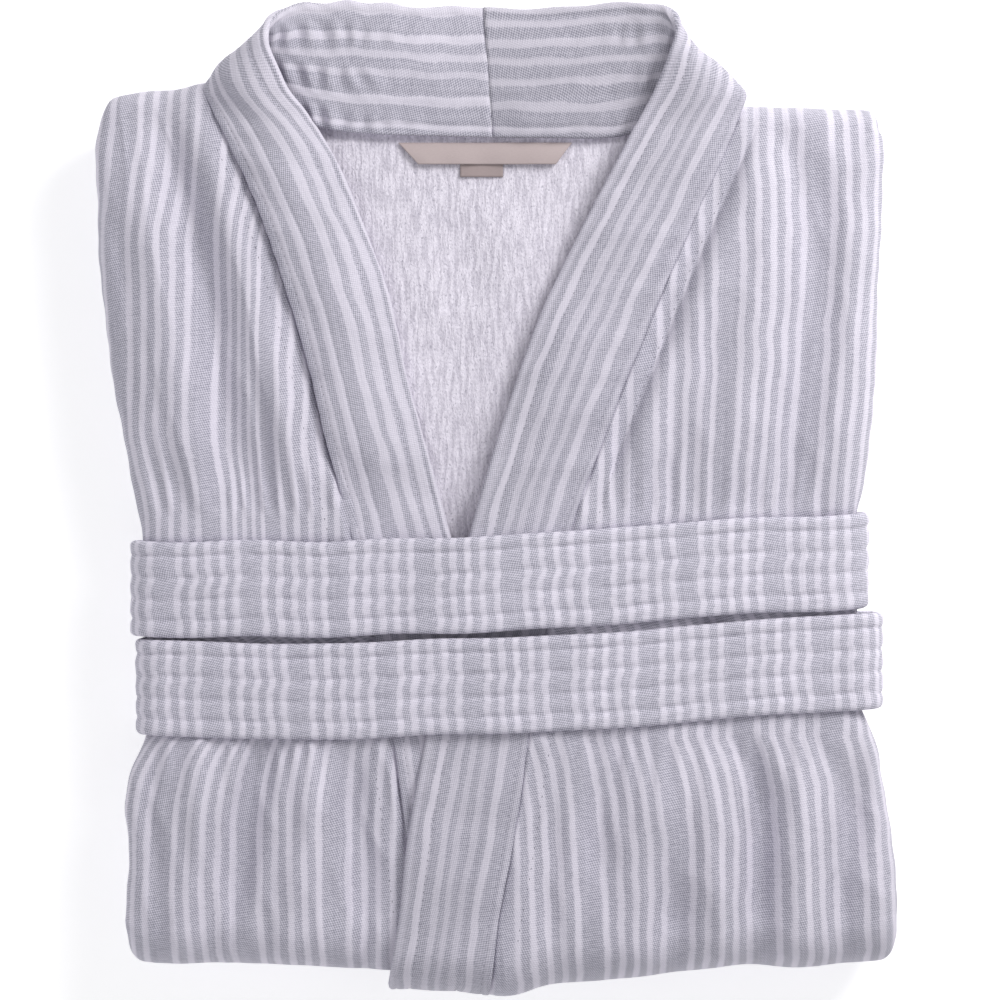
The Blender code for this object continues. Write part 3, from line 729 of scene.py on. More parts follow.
def smooth_line(line, rounds):
    for _ in range(rounds):
        line[1:-1] = (line[:-2] + 2 * line[1:-1] + line[2:]) / 4
    return line


def belt_grid():
    line, along = belt_line()
    line = smooth_line(line, 6)
    share = edge_samples(52)
    place = share * BELT_WIDTH
    across, length = np.meshgrid(place, along)
    rows = line[:, None, :] + np.array([0.0, 1.0, 0.0]) * (BELT_WIDTH / 2 - place)[None, :, None]
    return rows, across, length


def belt_faces():
    rows, across, length = belt_grid()
    normals = grid_normals(rows)
    edges = [0.0] + STITCH_ROWS + [BELT_WIDTH]
    channel = np.zeros(across.shape)
    for low, high in zip(edges[:-1], edges[1:]):
        inside = np.clip((across - low) / (high - low), 0, 1)
        channel += np.where((across >= low) & (across <= high), np.sin(math.pi * inside) ** 0.6, 0.0)
    stitched = sum(groove(across, at, 0.0010) for at in STITCH_ROWS)
    pucker = crumple(length, across * 2.2, 0.026, 0.009, 21)
    on_top = step(0.010, 0.030, rows[..., 2])
    half = BELT_THICK / 2 * round_edges(across, BELT_WIDTH, 0.0024) * (0.64 + 0.40 * channel)
    half = half - 0.00026 * stitched + 0.00036 * pucker * (0.35 + stitched) * (0.15 + 0.85 * on_top)
    half = np.maximum(half * (0.84 + 0.16 * on_top), 0.0001)
    lean = 0.0005 * crumple(length, across * 0.3, 0.120, 0.040, 24)
    on_top = step(0.030, 0.046, rows[..., 2])
    rows = rows + normals * (lean * on_top)[..., None]
    rows[..., 1] += 0.0007 * crumple(length, across * 0.2, 0.160, 0.050, 27) * on_top
    return rows + normals * half[..., None], rows - normals * half[..., None], across, length


def belt_bend(across, length):
    """How far the belt's stripes lean along it: they kink where the stitch rows draw the cloth in."""
    knots = [0.0] + STITCH_ROWS + [BELT_WIDTH]
    leans = [0.0, 0.0006, -0.0002, 0.0007, -0.0002, -0.0009]
    bend = np.interp(across, knots, leans)
    for k, knot in enumerate(knots):
        weight = np.clip(1 - np.abs(across - knot) / 0.0105, 0.0, 1.0)
        bend = bend + 0.0005 * weight * crumple(length, 0.0 * length, 0.150, 0.030, 61 + k, 8)
    return bend + 0.00035 * np.sin(across / 0.0110 * math.tau)


def belt_stripe_place(outer, length):
    """Length along the belt, moved so that the stripes of both wraps fall where they should."""
    line = outer[:, outer.shape[1] // 2]
    on_top = np.nonzero(line[:, 2] > 0.030)[0]
    split = np.nonzero(np.diff(on_top) > 1)[0][0]
    lower, upper = on_top[:split + 1], on_top[split + 1:]
    lower_zero = np.interp(0.0, line[lower, 0], length[lower, 0])
    upper_zero = np.interp(0.0, line[upper, 0], length[upper, 0])
    between = step(float(length[lower[-1], 0]), float(length[upper[0], 0]), length)
    return length - lower_zero - (upper_zero - 0.0240 - lower_zero) * between


def belt_piece(materials):
    outer, inner, across, length = belt_faces()
    along = belt_stripe_place(outer, length)
    cloth = np.stack([along + belt_bend(across, length), across], -1)
    return cloth_object("belt_cloth", outer, inner, cloth, materials), outer


# ---------------------------------------------------------------- stitches

def stitch_mesh(name, places, directions, normals, length, radius, material):
    """Short raised dashes of thread: one lens-shaped dash at each place."""
    turns = np.arange(5) * math.tau / 5
    side = np.cross(directions, normals)
    rings = [(-0.5, 0.0), (-0.34, 0.85), (0.0, 1.0), (0.34, 0.85), (0.5, 0.0)]
    points, faces = [], []
    for place, ahead, up, across in zip(places, directions, normals, side):
        base = len(points)
        points.append(place + ahead * length * rings[0][0])
        for far, thick in rings[1:4]:
            for turn in turns:
                points.append(place + ahead * length * far
                              + (across * math.cos(turn) + up * math.sin(turn)) * radius * thick)
        points.append(place + ahead * length * rings[4][0])
        for k in range(5):
            after = (k + 1) % 5
            faces.append((base, base + 1 + after, base + 1 + k))
            for ring in range(2):
                low = base + 1 + ring * 5
                faces.append((low + k, low + after, low + 5 + after, low + 5 + k))
            faces.append((base + 16, base + 11 + k, base + 11 + after))
    mesh = bpy.data.meshes.new(name)
    mesh.from_pydata([tuple(p) for p in points], [], faces)
    mesh.materials.append(material)
    mesh.polygons.foreach_set("use_smooth", np.ones(len(mesh.polygons), bool))
    mesh.update()
    return in_scene(name, mesh)


def columns_of(face, columns):
    """Lines down a grid of points, each with the grid's normals along it."""
    normals = grid_normals(face)
    return [(face[:, column], normals[:, column]) for column in columns]


def sewing(name, lines, material, pitch=0.0032, length=0.0021, radius=0.00030, sink=0.00012):
    """Dashes of thread along lines, one each pitch."""
    places, directions, ups = [], [], []
    for line, normals in lines:
        far = distances(line)
        stops = np.arange(pitch, far[-1] - pitch, pitch)
        at = np.stack([np.interp(stops, far, line[:, k]) for k in range(3)], -1)
        up = np.stack([np.interp(stops, far, normals[:, k]) for k in range(3)], -1)
        places.append(at - up * sink)
        directions.append(unit(np.gradient(at, axis=0)))
        ups.append(unit(up))
    return stitch_mesh(name, np.concatenate(places), np.concatenate(directions), np.concatenate(ups),
                       length, radius, material)


def nearest_columns(share, width, places):
    """The columns of a grid that are nearest to places across its width."""
    return [int(np.argmin(np.abs(share * width - place))) for place in places]


# ---------------------------------------------------------------- the back, seen inside the neck

def terry_top(x, y):
    """Height of the back's terry face."""
    under_left = step(0.020, 0.034, curve_at(LEFT_FREE, y) - x)
    under_right = step(0.020, 0.034, x - curve_at(RIGHT_FREE, y))
    hidden = np.maximum(np.maximum(under_left, under_right), step(0.045, 0.065, -y))
    rest = BACK_TOP + (HIDDEN_BACK_TOP - BACK_TOP) * hidden
    z = rest + 0.0005 * crumple(x, y, 0.110, 0.040, 41) * (1 - 0.7 * hidden)
    z = z + fold_ridge(x, y, [(0.150, -0.020), (0.090, -0.017), (0.020, -0.020)], 0.016, -0.0012)
    z = z + fold_ridge(x, y, [(0.165, 0.012), (0.100, 0.004)], 0.016, 0.0009)
    z = z + dimple(x, y, (-0.019, -0.012), (0.016, 0.034), -0.0042)
    return z + 0.0006 * step(0.160, 0.176, y) - 0.0030 * step(0.1785, 0.1850, y)


def neck_line(x):
    """How far up the back reaches: it goes on under the collar's turned sides."""
    side = np.abs(x)
    return 0.1870 + 0.0085 * step(0.056, 0.080, side) - 0.0170 * step(0.112, 0.120, side)


def back_cloth(materials):
    """The back: terry on the side that shows inside the neck, and striped on its other side."""
    x = np.concatenate([np.linspace(0.150, 0.118, 9)[:-1], np.linspace(0.118, -0.118, 160),
                        np.linspace(-0.118, -0.150, 9)[1:]])
    shares = np.concatenate([np.linspace(0, 0.53, 165)[:-1], np.linspace(0.53, 1, 40)[:-1]])
    rows = [("top", s) for s in shares] + bundle_rows(0, 0, 0, 12, 60)
    points, cloth = [], []
    for part, share in rows:
        y, z, _, _, along = along_bundle(
            part, share, x, terry_top, lambda at, y: 0.0195 - sag(y) + 0 * at,
            lambda at: -0.2275 + 0 * at, neck_line, 0.0, 0.0110)
        points.append(np.stack([x, y, z], -1))
        cloth.append(np.stack([x + 0 * along, along], -1))
    points, cloth = np.array(points), np.array(cloth)
    normals = grid_normals(points)
    across, along = cloth[..., 0], cloth[..., 1]
    nap = crumple(across * 1.5, along, 0.0110, 0.0055, 43, 22)
    shown = (np.abs(across) < 0.117) & (along > -0.05) & (points[..., 2] > FOLD_Z)
    outer = points + normals * (0.00018 * nap * shown)[..., None]
    inner = points - normals * 0.0028
    return cloth_object("back_terry", outer, inner, cloth, materials, inner_material=1)


# ---------------------------------------------------------------- pieces inside and under the bundle

def sleeve_cloth(name, middle, side, materials):
    """A sleeve lying flat inside the bundle: a flattened tube, open at the armhole and at the cuff."""
    half_width = 0.0640
    half_height = 0.0052
    low_y = -0.1590
    high_y = 0.1770
    hem_y = low_y + 0.060
    straight = half_width - half_height
    straights = np.linspace(-straight, straight, 46)
    turns = np.linspace(0, math.pi, 15)[1:-1]
    x = np.concatenate([straights, straight + half_height * np.sin(turns),
                        straights[::-1], -straight - half_height * np.sin(turns)])
    z = np.concatenate([0 * straights + 1, np.cos(turns), 0 * straights - 1, -np.cos(turns)])
    rows, places = [], []
    around = distances(np.stack([x, z * half_height], -1))
    for y in np.linspace(high_y, low_y, 130):
        cuff = step(hem_y + 0.002, hem_y, y)
        narrow = 1 - 0.05 * step(0.05, -0.15, -y)
        wide = x * (narrow - 0.012 * (1 - cuff))
        ripple = 0.00045 * crumple(wide + middle, y + 0 * wide, 0.070, 0.022, 91 + side)
        height = FOLD_Z - 0.0006 + z * half_height * 0.94 + ripple
        rows.append(np.stack([middle + wide, y + 0 * wide, height], -1))
        places.append(np.stack([around + 0 * wide, y + 0 * wide], -1))
    outer, places = np.array(rows)[:, ::-1], np.array(places)[:, ::-1]
    across = np.roll(outer, -1, axis=1) - np.roll(outer, 1, axis=1)
    normals = unit(np.cross(across, np.gradient(outer, axis=0)))
    thick = 0.0020 + 0.0008 * (outer[..., 1] < hem_y)
    return cloth_object(name, outer, outer - normals * thick[..., None], places, materials,
                        inner_material=1, tube=True)


def pocket_cloth(name, left, right, under, material):
    """A patch pocket on a front's skirt. It faces down here, and its hemmed top edge is towards -Y."""
    low_y, high_y = -0.1880, -0.0160
    x = left + (right - left) * edge_samples(60)
    y = high_y + (low_y - high_y) * edge_samples(70)
    across, down = np.meshgrid(x, y)
    near = np.minimum(np.minimum(across - left, right - across), np.minimum(down - low_y, high_y - down))
    sewn = 0.00030 * groove(near, 0.0030, 0.0008) + 0.00035 * groove(down, low_y + 0.024, 0.0009)
    thick = 0.0013 + 0.0007 * step(low_y + 0.0255, low_y + 0.0245, down)
    thick = thick * (0.45 + 0.55 * np.sqrt(np.clip(near / 0.0015, 0.0, 1.0)))
    base = under(across, down) - 0.0002
    uneven = 0.00012 * crumple(across, down, 0.03, 0.01, 95)
    outer = np.stack([across, down, base - thick + sewn + uneven], -1)
    inner = np.stack([across, down, base], -1)
    made = cloth_object(name, outer, inner, np.stack([across + 0.004, down], -1), [material])
    return made, outer


def hanger_line():
    """The middle of the hanger loop, from end to end, and the direction its flat side faces."""
    half_span = 0.028
    leg = 0.0162
    rise = 0.0168
    root = (0.187, 0.0385)
    lean = math.radians(-70)
    bend = [(half_span * math.cos(t), leg + rise * math.sin(t)) for t in np.linspace(math.pi, 0, 49)]
    legs = np.linspace(0.0, leg, 9)[:-1]
    flat = np.array([(-half_span, y) for y in legs] + bend + [(half_span, y) for y in legs[::-1]])
    along = flat[:, 1:] * np.array([math.cos(lean), math.sin(lean)]) + np.array(root)
    return np.concatenate([flat[:, :1], along], axis=1), np.array([0.0, -math.sin(lean), math.cos(lean)])


def hanger_cloth(material):
    """The hanging loop: a narrow folded strip, sewn in at both ends under the collar."""
    half_width = 0.00300
    half_thick = 0.00105
    inside = 0.35
    line, up = hanger_line()
    aside = np.cross(unit(np.gradient(line, axis=0)), up)
    turns = np.arange(20) * math.tau / 20
    wide = half_width * np.sign(np.cos(turns)) * np.abs(np.cos(turns)) ** 0.8
    high = half_thick * np.sign(np.sin(turns)) * np.abs(np.sin(turns)) ** 0.8
    round_it = aside[:, None] * wide[None, :, None] + up * high[None, :, None]
    cloth = np.stack(np.broadcast_arrays(wide[None, :] + 0.004, distances(line)[:, None]), -1)
    skin = line[:, None] + round_it
    core = line[:, None] + inside * round_it
    return cloth_object("hanger_loop_cloth", skin, core, cloth, [material], tube=True)


# ---------------------------------------------------------------- small pieces

# Where the belt loops and the care label lie, between the bundle's layers.
HIDDEN_Z = FOLD_Z + 0.0018


def strip(name, corners, count, thick, bow, materials, ground=None):
    """A flat strip of webbing between four corner points, slightly bowed. Where it lies on some ground, the
    corners' heights are above that."""
    a, b, c, d = [np.array(p, float) for p in corners]
    u = np.linspace(0, 1, count[0])[None, :, None]
    v = np.linspace(0, 1, count[1])[:, None, None]
    middle = (a * (1 - u) + b * u) * (1 - v) + (d * (1 - u) + c * u) * v
    middle = middle + np.array([0, 0, 1.0]) * bow(u[..., 0], v[..., 0])[..., None]
    if ground:
        middle[..., 2] += ground(middle[..., 0], middle[..., 1])
    normals = grid_normals(middle)
    flat_u = u[..., 0] * np.linalg.norm(b - a)
    flat_v = v[..., 0] * np.linalg.norm(d - a)
    size = np.stack(np.broadcast_arrays(flat_u, flat_v), -1)
    return cloth_object(name, middle + normals * thick / 2, middle - normals * thick / 2, size, materials)


def neck_label(material):
    """A blank satin label, its two ends folded to a mitre, sewn into the neck seam."""
    def bow(u, v):
        return 0.0005 * np.sin(math.pi * v) + 0.0003 * np.sin(u * 9.0) * v + 0.0002 * np.sin(u * 23.0) * v

    top, low = 0.1798, 0.1690
    return strip("neck_label_cloth", [(-0.0490, top, 0.0012), (0.0380, top, 0.0012), (0.0300, low, 0.0022),
                                      (-0.0390, low, 0.0022)], (90, 16), 0.0008, bow, [material], terry_top)


def size_tab(material):
    """The small blank tab below the neck label."""
    def bow(u, v):
        return 0.0002 * np.sin(math.pi * v) + 0.0003 * np.sin(u * 5.0) * v ** 3

    return strip("size_tab_cloth", [(-0.0180, 0.1790, 0.0005), (0.0035, 0.1790, 0.0005),
                                    (0.0035, 0.1628, 0.0009), (-0.0180, 0.1628, 0.0009)],
                 (24, 18), 0.0006, bow, [material], terry_top)


def belt_loop(name, middle, material):
    """A narrow double strip at the side seam that the belt can pass through."""
    def bow(u, v):
        return 0.0009 * np.sin(math.pi * v) + 0.0002 * np.sin(v * 17.0)

    left = middle - 0.0042
    right = middle + 0.0042
    top = -0.1670
    low = -0.2210
    return strip(name, [(left, top, HIDDEN_Z), (right, top, HIDDEN_Z), (right, low, HIDDEN_Z),
                        (left, low, HIDDEN_Z)], (12, 50), 0.0014, bow, [material])


def care_label(material):
    """The blank care label, between the layers at a side seam."""
    def bow(u, v):
        return 0.0006 * np.sin(math.pi * v) + 0.0003 * np.sin(u * 7.0 + v * 3.0)

    left = -0.1000
    right = -0.0680
    top = -0.1680
    low = -0.2160
    return strip("care_label_cloth", [(left, top, HIDDEN_Z), (right, top, HIDDEN_Z), (right, low, HIDDEN_Z),
                                      (left, low, HIDDEN_Z)], (24, 34), 0.0006, bow, [material])


# ---------------------------------------------------------------- materials

class Graph:
    """The nodes of one new material, with short names for the types that cloth needs."""

    def __init__(self, name):
        self.material = bpy.data.materials.new(name)
        self.material.use_nodes = True
        self.nodes = self.material.node_tree.nodes
        self.links = self.material.node_tree.links

    def join(self, value, socket):
        if isinstance(value, (int, float, tuple)):
            socket.default_value = value
        else:
            self.links.new(value, socket)

    def math(self, operation, a, b=None, c=None):
        node = self.nodes.new("ShaderNodeMath")
        node.operation = operation
        for socket, value in zip(node.inputs, (a, b, c)):
            if value is not None:
                self.join(value, socket)
        return node.outputs[0]

    def plus(self, a, b):
        return self.math("ADD", a, b)

    def minus(self, a, b):
        return self.math("SUBTRACT", a, b)

    def times(self, a, b):
        return self.math("MULTIPLY", a, b)

    def times_plus(self, a, b, c):
        return self.math("MULTIPLY_ADD", a, b, c)

    def swing(self, noise, amount):
        """A noise about 0 instead of 0.5, times amount."""
        return self.times(self.minus(noise, 0.5), amount)

    def place(self, x, y, z=0.0):
        node = self.nodes.new("ShaderNodeCombineXYZ")
        for socket, value in zip(node.inputs, (x, y, z)):
            self.join(value, socket)
        return node.outputs[0]

    def grain(self, u, v, across, along, scale, detail=2.0, roughness=0.5):
        """Noise on the flat cloth: the smaller across or along, the longer its patches lie that way."""
        return self.noise(self.place(self.times(u, across), self.times(v, along)), scale, detail, roughness)

    def noise(self, place, scale, detail=2.0, roughness=0.5):
        node = self.nodes.new("ShaderNodeTexNoise")
        self.links.new(place, node.inputs["Vector"])
        node.inputs["Scale"].default_value = scale
        node.inputs["Detail"].default_value = detail
        node.inputs["Roughness"].default_value = roughness
        return node.outputs["Fac"]

    def ramp(self, value, stops):
        node = self.nodes.new("ShaderNodeValToRGB")
        self.join(value, node.inputs[0])
        for extra in range(len(stops) - 2):
            node.color_ramp.elements.new(0.5)
        for element, (at, colour) in zip(node.color_ramp.elements, stops):
            element.position = at
            element.color = (*colour, 1.0) if len(colour) == 3 else colour
        return node.outputs["Color"]

    def mix(self, share, a, b, blend="MIX"):
        node = self.nodes.new("ShaderNodeMix")
        node.data_type = "RGBA"
        node.blend_type = blend
        self.join(share, node.inputs["Factor"])
        for key, value in (("A", a), ("B", b)):
            socket = [s for s in node.inputs if s.name == key and s.type == "RGBA"][0]
            self.join((*value, 1.0) if isinstance(value, tuple) else value, socket)
        return [s for s in node.outputs if s.type == "RGBA"][0]

    def between(self, value, low, high):
        node = self.nodes.new("ShaderNodeMapRange")
        node.interpolation_type = "SMOOTHSTEP"
        self.join(value, node.inputs["Value"])
        node.inputs["From Min"].default_value = low
        node.inputs["From Max"].default_value = high
        return node.outputs["Result"]

    def bump(self, height, distance, strength):
        node = self.nodes.new("ShaderNodeBump")
        self.join(height, node.inputs["Height"])
        node.inputs["Distance"].default_value = distance
        node.inputs["Strength"].default_value = strength
        return node.outputs["Normal"]

    def cloth_place(self):
        """u and v of the flat cloth, in millimetres."""
        node = self.nodes.new("ShaderNodeUVMap")
        node.uv_map = "cloth"
        split = self.nodes.new("ShaderNodeSeparateXYZ")
        self.links.new(node.outputs["UV"], split.inputs[0])
        return self.times(split.outputs[0], 1000.0), self.times(split.outputs[1], 1000.0)

    def finished(self, **inputs):
        """The material, with its shader's inputs set. An input's name has _ for each space."""
        shader = self.nodes["Principled BSDF"]
        for name, value in inputs.items():
            self.join(value, shader.inputs[name.replace("_", " ")])
        return self.material


def linear(red, green, blue):
    """A colour given as it looks on a screen, from 0 to 255."""
    def one(level):
        level = level / 255
        return level / 12.92 if level <= 0.04045 else ((level + 0.055) / 1.055) ** 2.4
    return (one(red), one(green), one(blue))


STRIPE_REPEAT = 43.5
STRIPE_PITCH = 7.35
STRIPE_WIDTH = 3.9
STRIPES = 5
# White stripes across the collar band, from its seam: (middle, width, strength), in millimetres.
LEFT_LAPEL = [(7.4, 4.6, 0.9), (17.2, 5.0, 0.9), (33.0, 5.8, 0.9), (43.2, 5.4, 0.95), (53.5, 6.2, 0.7),
              (61.3, 3.6, 1.0)]
RIGHT_LAPEL = [(2.6, 2.4, 0.4), (14.4, 4.4, 1.0), (24.0, 3.8, 0.6), (32.3, 3.8, 0.6), (40.2, 4.2, 0.85),
               (50.4, 4.2, 1.0), (58.2, 5.6, 0.45)]
INNER_LEFT = [(59.5, 5.0, 0.9), (46.0, 4.2, 0.9), (37.6, 3.6, 0.8), (29.2, 3.2, 0.7), (17.0, 4.6, 0.95),
              (4.6, 3.2, 0.9)]
INNER_RIGHT = [(61.0, 3.6, 0.8), (54.0, 3.4, 0.8), (44.6, 4.2, 0.9), (35.8, 3.6, 0.8), (26.4, 3.4, 0.9),
               (15.2, 4.4, 0.9), (4.0, 3.2, 0.9)]
# The weave's pitch along the cloth, in millimetres.
WEFT_PITCH = 1.18


def woven_floats(graph, u, v):
    """The weave's short pale floats, about 1.1 mm apart on a slant, uneven like spun yarn. 0 to 1."""
    shift = graph.swing(graph.noise(graph.place(u, v), 0.9, 1.0), 1.1)
    steep = graph.plus(graph.times(u, math.tau / 1.13), graph.times(v, 2.3))
    level = graph.plus(graph.times(v, math.tau / WEFT_PITCH), graph.times(u, -1.1))
    one = graph.math("COSINE", graph.plus(steep, shift))
    other = graph.math("COSINE", graph.plus(level, shift))
    lattice = graph.times_plus(graph.plus(one, other), 0.25, 0.5)
    yarn = graph.grain(u, v, 1.3, 1.3, 1.0, 2.0, 0.6)
    return graph.between(graph.plus(graph.times(lattice, 0.66), graph.times(yarn, 0.44)), 0.24, 0.86)


def stripe_groups(graph, u, first):
    """1 on the fabric's white stripes: groups of five, each followed by a wide grey."""
    group = graph.math("FLOORED_MODULO", graph.minus(u, first - 0.75), STRIPE_REPEAT)
    one = graph.math("FLOORED_MODULO", group, STRIPE_PITCH)
    rise = graph.between(one, 0.0, 1.5)
    fall = graph.minus(1.0, graph.between(one, STRIPE_WIDTH - 0.6, STRIPE_WIDTH + 0.9))
    inside = graph.math("LESS_THAN", group, STRIPE_PITCH * (STRIPES - 1) + STRIPE_WIDTH + 1.0)
    return graph.times(graph.times(rise, fall), inside)


def stripe_list(graph, u, stripes):
    """1 on white stripes at the (middle, width, strength) of a list, all in millimetres."""
    total = 0.0
    for middle, width, strength in stripes:
        away = graph.math("ABSOLUTE", graph.minus(u, middle))
        one = graph.minus(1.0, graph.between(away, width / 2 - 0.7, width / 2 + 0.7))
        total = graph.plus(graph.times(one, strength), total)
    return total


def white_share(graph, u, v, first, stripes, paleness):
    """1 on the white stripes. Their edges are ragged, and some are paler than others."""
    wobble = graph.swing(graph.grain(u, v, 1.0, 0.35, 0.30, 1.0), 1.0)
    ragged = graph.swing(graph.grain(u, v, 0.30, 0.95, 1.0, 1.0), 1.5)
    edge = graph.plus(graph.plus(u, wobble), ragged)
    white = stripe_list(graph, edge, stripes) if stripes else stripe_groups(graph, edge, first)
    bands = graph.grain(u, v, 1.0, 0.004, 0.16, 1.0)
    white = graph.times(white, graph.times_plus(bands, 0.9, 0.50))
    return graph.math("MINIMUM", graph.times(white, paleness), 1.0)


def twill_colour(graph, u, v, white, floats, tone):
    """Heathered grey, and white where white is 1. tone makes both lighter or darker."""
    def toned(*colour):
        return tuple(c * tone for c in linear(*colour))

    streaks = graph.grain(u, v, 1.0, 0.02, 0.8)
    heather = graph.grain(u, v, 0.22, 0.80, 1.0, 2.0, 0.6)
    ground = graph.plus(graph.plus(floats, graph.swing(streaks, 0.55)), graph.swing(heather, 0.85))
    grey = graph.mix(ground, toned(149, 148, 162), toned(216, 213, 225))
    ribs = graph.times_plus(graph.math("SINE", graph.times(v, math.tau / WEFT_PITCH)), 0.5, 0.5)
    plain = graph.plus(graph.times(ribs, 0.30), graph.times(floats, 0.45))
    plain = graph.plus(graph.plus(plain, graph.times(streaks, 0.35)), graph.swing(heather, 0.45))
    pale = graph.mix(plain, toned(203, 199, 212), toned(235, 231, 242))
    large = graph.noise(graph.place(u, v), 0.022)
    tint = graph.ramp(large, [(0.30, (0.955, 0.955, 0.955)), (0.70, (1.03, 1.025, 1.03))])
    return graph.mix(1.0, graph.mix(white, grey, pale), tint, "MULTIPLY")


def striped_material(name, first=0.0, tone=1.0, stripes=None, paleness=1.0):
    """Cotton twill: white stripes on heathered grey. Without a list of stripes they come in groups of five,
    and first is where a group starts."""
    graph = Graph(name)
    u, v = graph.cloth_place()
    white = white_share(graph, u, v, first, stripes, paleness)
    floats = woven_floats(graph, u, v)
    colour = twill_colour(graph, u, v, white, floats, tone)
    fuzz = graph.noise(graph.place(u, v), 2.6, 3.0, 0.7)
    raised = graph.plus(graph.times(floats, 0.55), graph.times(white, 0.25))
    raised = graph.plus(raised, graph.times(fuzz, 0.35))
    return graph.finished(Base_Color=colour, Normal=graph.bump(raised, 0.00028, 0.50),
                          Roughness=graph.times_plus(fuzz, 0.14, 0.80), Specular_IOR_Level=0.22,
                          Sheen_Weight=0.12, Sheen_Roughness=0.55)


def terry_material():
    """Looped cotton: the loops lie in uneven upright streaks, with small dark gaps among them."""
    graph = Graph("terry_loops")
    u, v = graph.cloth_place()
    leaning = graph.plus(u, graph.times(graph.grain(u, v, 0.25, 0.12, 1.0), 3.0))
    streaks = graph.grain(leaning, v, 1.0, 0.12, 0.56, 2.0, 0.55)
    loops = graph.grain(leaning, v, 1.0, 0.55, 1.15, 2.0, 0.6)
    small = graph.grain(u, v, 1.0, 0.8, 2.4, 2.0, 0.6)
    height = graph.plus(graph.times(graph.between(streaks, 0.36, 0.62), 0.52),
                        graph.times(graph.between(loops, 0.34, 0.66), 0.36))
    height = graph.plus(height, graph.times(graph.between(small, 0.3, 0.7), 0.12))
    shade = graph.mix(height, linear(196, 191, 204), linear(246, 241, 252))
    bits = graph.grain(leaning, v, 1.0, 0.45, 1.30, 1.0)
    gaps = graph.times(graph.between(bits, 0.60, 0.72), 0.52)
    shade = graph.mix(gaps, shade, linear(150, 148, 163))
    large = graph.grain(u, v, 1.0, 0.5, 0.05)
    tint = graph.ramp(large, [(0.30, (0.965, 0.965, 0.965)), (0.70, (1.02, 1.02, 1.02))])
    height = graph.minus(height, graph.times(gaps, 0.5))
    return graph.finished(Base_Color=graph.mix(1.0, shade, tint, "MULTIPLY"),
                          Normal=graph.bump(height, 0.0007, 0.5),
                          Roughness=graph.times_plus(height, -0.06, 0.96), Specular_IOR_Level=0.15,
                          Sheen_Weight=0.25, Sheen_Roughness=0.6)


def ribbon_material(name, low, high, shine):
    """Woven ribbon with fine crosswise ribs."""
    graph = Graph(name)
    u, v = graph.cloth_place()
    ribs = graph.times_plus(graph.math("SINE", graph.times(u, math.tau / 0.55)), 0.5, 0.5)
    threads = graph.grain(u, v, 0.4, 2.5, 1.2)
    blend = graph.plus(graph.times(ribs, 0.35), graph.times(threads, 0.65))
    return graph.finished(Base_Color=graph.mix(blend, linear(*low), linear(*high)),
                          Normal=graph.bump(blend, 0.00012, 0.5),
                          Roughness=graph.times_plus(threads, 0.15, 0.42), Specular_IOR_Level=shine,
                          Sheen_Weight=0.05)


def thread_material(name, level):
    """Sewing thread: twisted strands."""
    graph = Graph(name)
    where = graph.nodes.new("ShaderNodeTexCoord").outputs["Object"]
    strands = graph.noise(where, 2600.0, 1.0)
    colour = graph.mix(strands, linear(*[c - 16 for c in level]), linear(*[c + 8 for c in level]))
    return graph.finished(Base_Color=colour, Normal=graph.bump(strands, 0.0001, 0.4),
                          Roughness=graph.times_plus(strands, 0.2, 0.6))


def floor_material():
    """Plain white paper, lit a little from within so that it stays white."""
    return Graph("floor_paper").finished(Base_Color=(0.93, 0.93, 0.93, 1.0), Roughness=0.9,
                                         Emission_Color=(1.0, 1.0, 1.0, 1.0), Emission_Strength=0.42)


# ---------------------------------------------------------------- the robe

# The flat size of the pockets' cloth, which both pockets share, in metres.
POCKET_FLAT = (0.142, 0.172)


def dress(piece, body, node):
    """Puts a piece on its CAD body in place of its CAD node."""
    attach(piece, body)
    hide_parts(node)


def build_fronts(striped, terry, thread):
    left = front_cloth("left_front_cloth", -1, LEFT_SEAM, LEFT_EDGE, LEFT_SHOULDER, LEFT_BOTTOM,
                       left_top, left_under, left_drift, [striped["left"], terry])
    right = front_cloth("right_front_cloth", 1, RIGHT_SEAM, RIGHT_EDGE, RIGHT_SHOULDER, RIGHT_BOTTOM,
                        right_top, right_under, right_drift, [striped["right"], terry])
    dress(left[0], "robe", "left_front")
    dress(right[0], "robe", "right_front")
    for name, (_, face, column) in (("left_front_sewing", left), ("right_front_sewing", right)):
        made = sewing(name, columns_of(face, [column]), thread, pitch=0.0052, length=0.0013, radius=0.00024)
        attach(made, "robe")


def build_collar(striped, thread):
    left, left_face, left_share = collar_band(
        "left_band_cloth", -1, LEFT_NECK, LEFT_SEAM, LEFT_FREE, left_band_middle, LEFT_BOTTOM,
        0.0018 + 0.0076, [striped["left_band"], striped["left_inner"]], 51)
    right, right_face, right_share = collar_band(
        "right_band_cloth", 1, RIGHT_NECK, RIGHT_SEAM, RIGHT_FREE, right_band_middle, RIGHT_BOTTOM,
        0.0026, [striped["right_band"], striped["right_inner_painted_shade"]], 57)
    dress(left, "robe", "left_collar_band")
    dress(right, "robe", "right_collar_band")
    edges = [BAND_SEWING[0], BAND_SEWING[2]]
    for name, face, share in (("left_band_sewing", left_face, left_share),
                              ("right_band_sewing", right_face, right_share)):
        lines = columns_of(face, nearest_columns(share, BAND_WIDTH, edges))
        made = sewing(name, lines, thread, pitch=0.0040, length=0.0012, radius=0.00024)
        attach(made, "robe")


def build_belt(striped, thread):
    piece, face = belt_piece([striped["belt"]])
    dress(piece, "belt", "belt")
    columns = nearest_columns(edge_samples(52), BELT_WIDTH, STITCH_ROWS)
    made = sewing("belt_sewing", columns_of(face, columns), thread, radius=0.00020, sink=0.00018)
    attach(made, "belt")


def build_back(striped, terry):
    piece = back_cloth([terry, striped["left"]])
    dress(piece, "robe", "back_panel")


